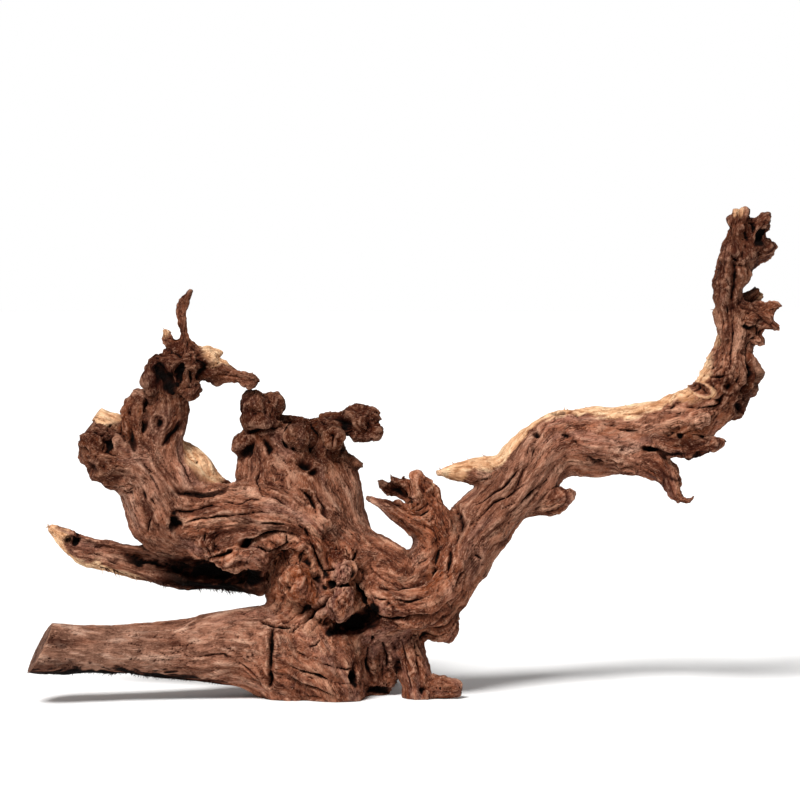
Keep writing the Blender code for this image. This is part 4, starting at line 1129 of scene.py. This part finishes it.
def edges_of(data):
    """The two ends of each edge, and how many edges meet at each point."""
    ends = np.empty(len(data.edges) * 2, np.int32)
    data.edges.foreach_get("vertices", ends)
    ends = ends.reshape(-1, 2)
    counts = np.bincount(ends.ravel(), minlength=len(data.vertices)).astype(float)
    return (ends[:, 0], ends[:, 1]), np.maximum(counts, 1)


def scar_distance(points):
    """Distance from the middle of the oval scar in the bend's bare sapwood, 1 on its edge."""
    across, up = points[:, 0] - 339, points[:, 2] - 313
    return np.hypot((across * 0.93 - up * 0.36) / 11, (across * 0.36 + up * 0.93) / 5.5)


def sapwood_at(points, streak):
    """How bare the sapwood is: round the patches of SAPWOOD, past the two split edges and round the scar.

    The edges are frayed by the streaks."""
    fray = streak * 2.2 + value_noise(points, 12, 81) * 2.5
    pale = np.zeros(len(points), np.float32)
    for place, reach, strength in SAPWOOD:
        away = np.linalg.norm(points - np.array(place, np.float32), axis=1) + fray * 0.8
        pale = np.maximum(pale, strength * eased(1.25 - away / reach, 0, 0.45))
    x, z = points[:, 0], points[:, 2]
    line = np.array(SPLIT_LINE, float)
    above = z - np.interp(x, line[:, 0], line[:, 1]) + fray * 0.45
    pale = np.maximum(pale, eased(above, -1.0, 3.5) * (x > 70) * (x < 350) * eased(352 - x, 0, 10))
    torn = np.array(TORN_LINE, float)
    below = np.interp(x, torn[:, 0], torn[:, 1]) - z + fray * 0.7
    branch = (x < -196) * (z > 104) * (z < 182) * eased(-196 - x, 0, 50)
    pale = np.maximum(pale, eased(below, -1.0, 3.5) * branch)
    scar = scar_distance(points)
    return np.maximum(pale, eased(1.5 - scar, 0, 0.3)) * (1 - eased(1.1 - scar, 0, 0.2))


def put_attribute(data, name, values):
    """A number or a vector for each point, by name."""
    kind, key = ("FLOAT_VECTOR", "vector") if values.ndim == 2 else ("FLOAT", "value")
    attribute = data.attributes.new(name, kind, "POINT")
    attribute.data.foreach_set(key, np.ascontiguousarray(values, np.float32).ravel())


# Materials.


def to_linear(code):
    """An sRGB colour written as six hex digits, as linear values."""
    value = np.array([int(code[k:k + 2], 16) for k in (0, 2, 4)]) / 255
    linear = np.where(value <= 0.04045, value / 12.92, ((value + 0.055) / 1.055) ** 2.4)
    return (*linear.tolist(), 1.0)


def add(tree, kind, links=None, **settings):
    """A node with its settings. Links name an input and the socket or the value that goes into it."""
    node = tree.nodes.new(kind)
    for name, value in settings.items():
        setattr(node, name, value)
    for name, value in (links or {}).items():
        socket = node.inputs[name]
        if isinstance(value, bpy.types.NodeSocket):
            tree.links.new(value, socket)
        else:
            socket.default_value = value
    return node


def ramp(tree, fac, stops):
    """The colour at fac on a ramp. Each stop is a place and a linear colour."""
    node = add(tree, "ShaderNodeValToRGB", {"Fac": fac})
    elements = node.color_ramp.elements
    while len(elements) < len(stops):
        elements.new(0.5)
    for element, (place, colour) in zip(elements, stops):
        element.position = place
        element.color = colour
    return node.outputs["Color"]


def mixed(tree, fac, a, b):
    """Colour a at 0 and colour b at 1."""
    node = add(tree, "ShaderNodeMix", data_type="RGBA")
    for index, value in ((0, fac), (6, a), (7, b)):
        if isinstance(value, bpy.types.NodeSocket):
            tree.links.new(value, node.inputs[index])
        else:
            node.inputs[index].default_value = value
    return node.outputs[2]


def vector_math(tree, how, a, b):
    """The sum or difference of two vectors, or with SCALE the vector a times the number b."""
    second = "Scale" if how == "SCALE" else 1
    return add(tree, "ShaderNodeVectorMath", {0: a, second: b}, operation=how).outputs[0]


def math(tree, how, a, b=0.0, clamp=False):
    """One sum on two numbers, kept between 0 and 1 when clamped."""
    return add(tree, "ShaderNodeMath", {0: a, 1: b}, operation=how, use_clamp=clamp).outputs[0]


def span(tree, value, low, high, to_low=0.0, to_high=1.0):
    """A smooth step from to_low, where the value is low, to to_high, where it is high."""
    return add(tree, "ShaderNodeMapRange", {"Value": value, "From Min": low, "From Max": high,
                                            "To Min": to_low, "To Max": to_high},
               interpolation_type="SMOOTHSTEP").outputs["Result"]


def seam(tree, value, width):
    """1 on the thin line where a noise passes its middle."""
    return span(tree, math(tree, "ABSOLUTE", math(tree, "SUBTRACT", value, 0.5)), width, 0.0)


def attribute(tree, name):
    """A number kept on the skin's points."""
    return add(tree, "ShaderNodeAttribute", attribute_name=name).outputs["Fac"]


def noise_node(tree, vector, scale, detail, rough, seed=0.0):
    """Noise with scale cells to the metre. Each seed is another noise."""
    links = {"Vector": vector, "Scale": scale, "Detail": detail, "Roughness": rough, "W": seed}
    return add(tree, "ShaderNodeTexNoise", links, noise_dimensions="4D").outputs["Fac"]


def wood_material(settings):
    """Bare weathered root wood, matt: reddish heartwood, greyed where it is smooth, with painted shade that
    turns black in its creases and hollows, and ridges paler from wear and a painted highlight.
    """
    material = bpy.data.materials.new("weathered_root_wood")
    material.use_nodes = True
    tree = material.node_tree
    shader = tree.nodes["Principled BSDF"]
    place = add(tree, "ShaderNodeTexCoord").outputs["Object"]
    grain = add(tree, "ShaderNodeAttribute", attribute_name="grain").outputs["Vector"]
    # The grain wavers by a millimetre or two, so that no fibre is ruled straight.
    wave = add(tree, "ShaderNodeTexNoise", {"Vector": place, "Scale": 60.0, "Detail": 2.0}).outputs["Color"]
    wave = vector_math(tree, "SUBTRACT", wave, (0.5, 0.5, 0.5))
    grain = vector_math(tree, "ADD", grain, vector_math(tree, "SCALE", wave, 0.006))
    crevice, fibre, tone = attribute(tree, "crevice"), attribute(tree, "fibre"), attribute(tree, "tone")
    weather = attribute(tree, "weather")
    # Fibres under a millimetre wide, the lines between them and broader bands, all drawn out along the grain.
    thread = noise_node(tree, grain, 1300, 2.0, 0.6)
    line = noise_node(tree, grain, 620, 3.0, 0.6, 2.0)
    band = noise_node(tree, grain, 260, 3.0, 0.55, 4.0)
    # Colour patches are about four times as long along the grain as across it.
    drift = vector_math(tree, "ADD", grain, vector_math(tree, "SCALE", place, 0.25))
    patch = noise_node(tree, drift, 75, 6.0, 0.65)
    streaky = math(tree, "ADD", math(tree, "MULTIPLY", band, 0.4), math(tree, "MULTIPLY", patch, 0.6))
    streaky = math(tree, "ADD", streaky, span(tree, fibre, 0.0, 1.0, -0.12, 0.12))
    # Heartwood between a dark red brown and a dusty orange brown.
    dark, plain, light = tuple(settings.heart_dark), tuple(settings.heart), tuple(settings.heart_light)
    heart = ramp(tree, streaky, [(0.34, dark), (0.5, plain), (0.66, light)])
    # Patches that rot has turned orange, that damp has left umber, and that air has turned mauve or grey.
    spots = ((50, 7.0, 0.6, "a04e20"), (70, 9.0, 0.75, "4c1c0c"), (44, 11.0, 0.5, "ab7b6e"))
    for size, seed, share, code in spots:
        spot = span(tree, noise_node(tree, drift, size, 5.0, 0.6, seed), 0.5, 0.64)
        share = span(tree, weather, 0.2, 1.0, share, share * 0.4)
        heart = mixed(tree, math(tree, "MULTIPLY", spot, share), heart, to_linear(code))
    # Bark-free wood in the open air goes grey, in patches.
    grey = math(tree, "MULTIPLY", weather, span(tree, patch, 0.18, 0.48), clamp=True)
    dust = [(0.3, to_linear("5c3e30")), (0.5, to_linear("946f5c")), (0.7, to_linear("c6a591"))]
    heart = mixed(tree, math(tree, "MULTIPLY", grey, 0.82), heart, ramp(tree, streaky, dust))
    # Burls and old stumps are soaked dark.
    stained = attribute(tree, "stained")
    soaked = ramp(tree, streaky, [(0.34, to_linear("160602")), (0.66, to_linear("401e0e"))])
    heart = mixed(tree, math(tree, "MULTIPLY", stained, 0.85), heart, soaked)
    # Sapwood: cream where freshly split, tan in streaks.
    sap = tuple(settings.sapwood)
    straw = ramp(tree, streaky, [(0.3, to_linear("a56f49")), (0.44, to_linear("d8a57c")), (0.6, sap)])
    pale = attribute(tree, "sapwood")
    wood = mixed(tree, pale, heart, straw)
    # Ridges are paler, partly from wear and partly as a painted highlight, but less so where the wood is
    # soaked.
    worn_and_highlit = span(tree, tone, 0.1, 1.0, 0.0, 0.46)
    worn_and_highlit = math(tree, "MULTIPLY", worn_and_highlit, span(tree, stained, 0.2, 1.0, 1.0, 0.5))
    wood = mixed(tree, worn_and_highlit, wood, to_linear("d2a084"))
    # Thin dark lines between the fibres, tan in the sapwood. The broken ones are weaker where it has greyed.
    deep = mixed(tree, pale, to_linear("2e0d04"), to_linear("8c5c3a"))
    wood = mixed(tree, span(tree, thread, 0.5, 0.32, 0.0, 0.38), wood, deep)
    wood = mixed(tree, span(tree, line, 0.45, 0.3, 0.0, 0.42), wood, deep)
    patched = span(tree, noise_node(tree, place, 90, 3.0, 0.6, 21.0), 0.42, 0.6)
    patched = math(tree, "MULTIPLY", patched, span(tree, weather, 0.3, 1.0, 1.0, 0.6))
    for value, width, share in ((band, 0.05, 0.85), (line, 0.07, 0.7)):
        broken = math(tree, "MULTIPLY", seam(tree, value, width), patched)
        wood = mixed(tree, math(tree, "MULTIPLY", broken, share), wood, deep)
    # Specks of dust and pores, pale and dark.
    speck = noise_node(tree, drift, 1200, 2.0, 0.7, 17.0)
    wood = mixed(tree, span(tree, speck, 0.54, 0.7, 0.0, 0.3), wood, to_linear("dcae92"))
    wood = mixed(tree, span(tree, speck, 0.46, 0.32, 0.0, 0.38), wood, deep)
    # Painted shade: creases and hollows go red brown, and black at the bottom.
    wood = mixed(tree, span(tree, crevice, 0.06, 0.66, 0.0, 0.86), wood, to_linear("300d04"))
    wood = mixed(tree, span(tree, crevice, 0.38, 0.9), wood, tuple(settings.crease))
    tree.links.new(wood, shader.inputs["Base Color"])
    # Dry wood has no shine, and its fibres are a little smoother than the lines between them.
    tree.links.new(span(tree, thread, 0.3, 0.7, 0.8, 0.55), shader.inputs["Roughness"])
    shader.inputs["Specular IOR Level"].default_value = 0.05
    # The bump adds fibres, flecks and shallow bands.
    fleck = noise_node(tree, place, 650, 3.0, 0.6, 13.0)
    height = math(tree, "ADD", math(tree, "MULTIPLY", thread, 0.7), math(tree, "MULTIPLY", fleck, 0.6))
    height = math(tree, "ADD", height, math(tree, "MULTIPLY", band, 1.2))
    bump = add(tree, "ShaderNodeBump", {"Strength": 1.0, "Distance": 0.002, "Height": height})
    tree.links.new(bump.outputs["Normal"], shader.inputs["Normal"])
    return material


def plain_material(name, code, roughness):
    """One colour and one roughness all over."""
    material = bpy.data.materials.new(name)
    material.use_nodes = True
    shader = material.node_tree.nodes["Principled BSDF"]
    shader.inputs["Base Color"].default_value = to_linear(code)
    shader.inputs["Roughness"].default_value = roughness
    return material


# Pieces.


def skin(cell):
    """The whole root as one skin of quads, sawn at the log's end, at the stub and underneath."""
    points, faces = shells([strand(*row) for row in MASSES.values()])
    wood = linked("driftwood_wood", mesh_of("driftwood_wood", points, faces))
    fused(wood, MASS_CELL, 9)
    points, faces = shells([*(strand(*row) for row in BRANCHES.values()), burls()])
    joined(wood, points, faces)
    fused(wood, BRANCH_CELL, 3)
    points, faces = shells([strand(*row) for row in HOLLOWS.values()])
    cut(wood, fused(linked("hollows", mesh_of("hollows", points, faces)), BRANCH_CELL, 0))
    fused(wood, CARVED_CELL, 1)
    sawn(wood.data)
    floored(wood)
    return fused(wood, cell, 2)


def saw_face(points, normals):
    """1 on the sawn faces and the flat underside, where nothing is carved."""
    face = eased(-normals[:, 2], 0.75, 0.95) * (points[:, 2] < FLOOR + 0.6)
    for point, way, reach in SAW_CUTS.values():
        way = unit(np.array(way, np.float32))
        offset = points - np.array(point, np.float32)
        near = (np.abs(offset @ way) < 1.6) & (np.linalg.norm(offset, axis=1) < reach)
        face = np.maximum(face, eased(normals @ way, 0.7, 0.9) * near)
    return face


def marked(data, fibre, ridge, dark, face):
    """Crevice, tone and fibre for the material, from how far each point lies below the smoothed skin. Crevice
    is the painted shade of creases, with the dark of marks, hollows and knot eyes added; tone lightens
    ridges, partly as wear and partly as a painted highlight.
    """
    points = arrays_of(data)[0] / np.float32(GRID)
    normals = normals_of(data)
    edges, counts = edges_of(data)
    small, middle, large = (hollow_at(points, normals, edges, counts, rounds) for rounds in (3, 14, 70))
    # Painted shade: the deeper a point lies below the smoothed skin, at three widths, the darker it is
    # painted.
    crevice = eased(small, 0.05, 0.6) * 0.35 + eased(middle, 0.25, 2.4) * 0.6 + eased(large, 2.0, 9) * 0.85
    crevice = 1 - (1 - np.clip(crevice, 0, 1)) * (1 - np.clip(dark, 0, 1) * 0.96)
    # Ridges above the smoothed skin are painted paler, partly as wear and partly as a painted highlight.
    tone = eased(-middle, 0.1, 1.8) * 0.6 + eased(-small, 0.05, 0.5) * 0.4
    streak = np.clip(0.5 + fibre * 0.16 + ridge * 0.08, 0, 1)
    return {"crevice": crevice * (1 - face), "tone": tone, "fibre": streak}


def build_wood(settings):
    """The finished skin as one mesh, with its attributes by name."""
    wood = skin(settings.cell)
    points = arrays_of(wood.data)[0] / np.float32(GRID)
    normals = normals_of(wood.data)
    lattice = grain_lattice(points)
    mix = place_mix(points)
    bare = sapwood_at(points, value_noise(points, 3, 80))
    height, ridge, fibre, dark = relief(points, normals, lattice, mix, bare)
    face = saw_face(points, normals)
    grain = grain_place(points)
    bare = sapwood_at(points, fibre)
    moved_out(wood.data, height * settings.relief * (1 - face))
    sawn(wood.data)
    points = arrays_of(wood.data)[0] - np.array((0, 0, FLOOR * GRID), np.float32)
    points[:, 2] = np.maximum(points[:, 2], 0)
    put_points(wood.data, points)
    values = marked(wood.data, fibre, ridge, dark, face)
    stained = np.maximum(mix[:, 3], 0.7 * face)
    values.update(sapwood=bare * (1 - 0.3 * face), weather=mix[:, 2], stained=stained, grain=grain * GRID)
    return wood, values


def parted(whole, values, material):
    """The skin in pieces from left to right, with equal numbers of faces.

    Each piece keeps the whole skin's normals, so that no seam shows between them."""
    points, faces = arrays_of(whole.data)
    normals = normals_of(whole.data)
    across = points[faces[:, 0], 0]
    bounds = np.quantile(across, np.arange(1, PIECES) / PIECES)
    group = np.searchsorted(bounds, across)
    pieces = []
    for index in range(PIECES):
        kept, local = np.unique(faces[group == index], return_inverse=True)
        name = f"driftwood_wood_{index + 1}"
        piece = linked(name, mesh_of(name, points[kept], [local.reshape(-1, 4)]))
        for key, value in values.items():
            put_attribute(piece.data, key, value[kept])
        piece.data.materials.append(material)
        piece.data.shade_smooth()
        piece.data.normals_split_custom_set_from_vertices(normals[kept].tolist())
        pieces.append(piece)
    bpy.data.objects.remove(whole)
    return pieces


def nearest_points(skin_points, places):
    """The skin's point nearest to each place in the front view, those nearer the given y first."""
    found = np.empty((len(places), 3), np.float32)
    for index, place in enumerate(places):
        offset = skin_points - place
        away = offset[:, 0] ** 2 + offset[:, 2] ** 2 + 0.05 * offset[:, 1] ** 2
        found[index] = skin_points[np.argmin(away)]
    return found


def fray_fibres(skin_points):
    """Torn fibres: thin three-sided tapers that start inside the skin and curve out from the frayed edges.

    Each is a parabola root + way * t + bend * t squared, with a radius that falls to a tenth at the tip. The
    arrays are the points, the faces and how pale each point is."""
    random = np.random.default_rng(11)
    roots, ways, bends, sizes, pale = [], [], [], [], []
    for count, length, way, depth, shade, line in FRAYS:
        line = np.array(line, float)
        share = np.sort(random.uniform(0, 1, count))
        at = np.interp(share, np.linspace(0, 1, len(line)), line[:, 0])
        up = np.interp(share, np.linspace(0, 1, len(line)), line[:, 1])
        roots.append(np.stack([at, np.full(count, depth) + random.normal(0, 3, count), up], axis=1))
        far = length * random.uniform(0.35, 1.1, count)[:, None]
        aim = unit(np.array(way, float) + random.normal(0, 0.45, (count, 3)))
        ways.append(aim * far)
        bends.append(random.normal(0, 0.16, (count, 3)) * far)
        sizes.append(random.uniform(0.4, 0.95, count))
        pale.append(np.full(count, shade))
    ways, bends = np.vstack(ways), np.vstack(bends)
    base = nearest_points(skin_points, np.vstack(roots)) - unit(ways) * 1.2
    size, pale = np.concatenate(sizes), np.concatenate(pale)
    t = np.linspace(0, 1, FRAY_RINGS)[None, :, None]
    middle = base[:, None] + ways[:, None] * t + bends[:, None] * t**2
    along = unit(ways)
    across = unit(np.cross(along, (0.3, 1.0, 0.2)))
    ring = ring_ways(across, np.cross(along, across), FRAY_SIDES)
    radius = size[:, None, None, None] * (1 - 0.9 * t[..., None])
    points = middle[:, :, None] + radius * ring[:, None]
    each = FRAY_SIDES * FRAY_RINGS
    ends = np.array([(2, 1, 0), (each - 3, each - 2, each - 1)])
    step = (np.arange(len(size)) * each)[:, None, None]
    faces = [(grid_faces(FRAY_RINGS, FRAY_SIDES, True) + step).reshape(-1, 4), (ends + step).reshape(-1, 3)]
    return points.reshape(-1, 3), faces, np.repeat(pale, each)


def build_splinters(skin_points, material):
    """The torn fibres as one piece, kept clear of the floor. Pale ones take the colour of bare sapwood.

    They need no creases or folds of their own, so most attributes are the same all over."""
    points, faces, pale = fray_fibres(skin_points / np.float32(GRID))
    points = (points * GRID).astype(np.float32)
    points[:, 2] = np.maximum(points[:, 2], 0.2 * MM)
    piece = linked("splinters", mesh_of("splinters", points, faces))
    flat = np.ones(len(points), np.float32)
    # Dark fibres take painted shade through a fixed crevice value, and all take a little painted highlight
    # through their tone.
    values = {"crevice": flat * 0.7 * (1 - pale), "tone": flat * 0.4, "fibre": flat * 0.5, "sapwood": pale,
              "weather": flat * 0.2, "stained": flat * 0.4 * (1 - pale), "grain": points * np.float32(0.3)}
    for key, value in values.items():
        put_attribute(piece.data, key, value)
    piece.data.materials.append(material)
    return piece


def colour_setting(name, description, code):
    """A colour in the panel, with an sRGB default."""
    return bpy.props.FloatVectorProperty(name=name, description=description, default=to_linear(code), size=4,
                                         min=0, max=1, subtype="COLOR")


class DriftwoodSettings(bpy.types.PropertyGroup):
    """How finely the root is built, how deep its carving is and what colours its wood has."""

    cell: bpy.props.FloatProperty(name="Cell", description="Size of the skin's finest cells",
                                  default=0.95 * MM, min=0.6 * MM, max=3 * MM, subtype="DISTANCE",
                                  unit="LENGTH", precision=5)
    relief: bpy.props.FloatProperty(name="Relief", description="Height of all carving over the usual",
                                    default=1.0, min=0, max=2, subtype="FACTOR")
    heart_dark: colour_setting("Dark heartwood", "Darkest streaks of the heartwood", "4e1d0b")
    heart: colour_setting("Heartwood", "Middle of the heartwood", "a35e40")
    heart_light: colour_setting("Light heartwood", "Palest streaks of the heartwood", "d09270")
    sapwood: colour_setting("Sapwood", "Freshly split sapwood", "f3cfa6")
    # The crease colour is the painted shade at the bottom of creases and hollows.
    crease: colour_setting("Crease", "Bottom of the creases and hollows", "040100")


class DRIFTWOOD_OT_wood(bpy.types.Operator):
    """Builds the root's finished surface and its torn fibres in place of the plain solid"""

    bl_idname = "driftwood.wood"
    bl_label = "Wood"

    def execute(self, context):
        settings = context.scene.driftwood
        whole, values = build_wood(settings)
        skin_points = arrays_of(whole.data)[0]
        material = wood_material(settings)
        pieces = parted(whole, values, material)
        pieces.append(build_splinters(skin_points, material))
        for piece in pieces:
            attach(piece, "root")
            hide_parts("driftwood")
        return {"FINISHED"}


def aim(obj, target):
    """Turns a lamp or camera towards the target."""
    way = Vector(target) - obj.location
    obj.rotation_euler = way.to_track_quat("-Z", "Y").to_euler()


class DRIFTWOOD_OT_stage(bpy.types.Operator):
    """Sets up the pale floor, the soft lights and the camera"""

    bl_idname = "driftwood.stage"
    bl_label = "Stage"

    def execute(self, context):
        scene = context.scene
        half = 6.0
        corner = np.array([(-half, -half, 0), (half, -half, 0), (half, half, 0), (-half, half, 0)])
        floor = linked("floor", mesh_of("floor", corner, [np.array([(0, 1, 2, 3)])]))
        # Matt off-white paper: it shows the shadow and no reflection.
        floor.data.materials.append(plain_material("pale_floor", "f4f3f2", 0.9))
        world = bpy.data.worlds.new("studio")
        world.use_nodes = True
        tree = world.node_tree
        background = tree.nodes["Background"]
        background.inputs["Color"].default_value = to_linear("ffffff")
        # The camera sees pure white, while the wood is lit by a third of it.
        ambient = 0.33
        seen = add(tree, "ShaderNodeLightPath").outputs["Is Camera Ray"]
        tree.links.new(span(tree, seen, 0.0, 1.0, ambient, 1.0), background.inputs["Strength"])
        scene.world = world
        sun = bpy.data.lights.new("window", "SUN")
        sun.energy = 4.55
        sun.angle = np.radians(22)
        light = linked("window", sun)
        light.location = (-0.8, -1.5, 2.2)
        aim(light, (0.03, 0, 0.15))
        data = bpy.data.cameras.new("camera")
        data.lens = 180
        data.sensor_width = 36
        camera = linked("camera", data)
        tilt = np.radians(4.0)
        distance = 3.0
        target = np.array((0.030, 0.0, 0.2235))
        camera.location = target + distance * np.array((0.0, -np.cos(tilt), np.sin(tilt)))
        aim(camera, target)
        scene.camera = camera
        scene.view_settings.view_transform = "Standard"
        return {"FINISHED"}


class DRIFTWOOD_PT_panel(bpy.types.Panel):
    """Every setting, then a button for each operator."""

    bl_label = "Driftwood"
    bl_idname = "DRIFTWOOD_PT_panel"
    bl_space_type = "VIEW_3D"
    bl_region_type = "UI"
    bl_category = "Driftwood"

    def draw(self, context):
        """Lays out the panel."""
        for name in DriftwoodSettings.__annotations__:
            self.layout.prop(context.scene.driftwood, name)
        for kind in OPERATORS:
            self.layout.operator(kind.bl_idname)


OPERATORS = (DRIFTWOOD_OT_wood, DRIFTWOOD_OT_stage)
CLASSES = (DriftwoodSettings, *OPERATORS, DRIFTWOOD_PT_panel)


def register():
    """Adds the classes and the scene's settings."""
    for kind in CLASSES:
        bpy.utils.register_class(kind)
    bpy.types.Scene.driftwood = bpy.props.PointerProperty(type=DriftwoodSettings)


def unregister():
    """Takes away the settings and the classes."""
    del bpy.types.Scene.driftwood
    for kind in reversed(CLASSES):
        bpy.utils.unregister_class(kind)


def main():
    """Builds the wood and the stage."""
    register()
    bpy.ops.driftwood.wood()
    bpy.ops.driftwood.stage()


if __name__ == "__main__":
    main()
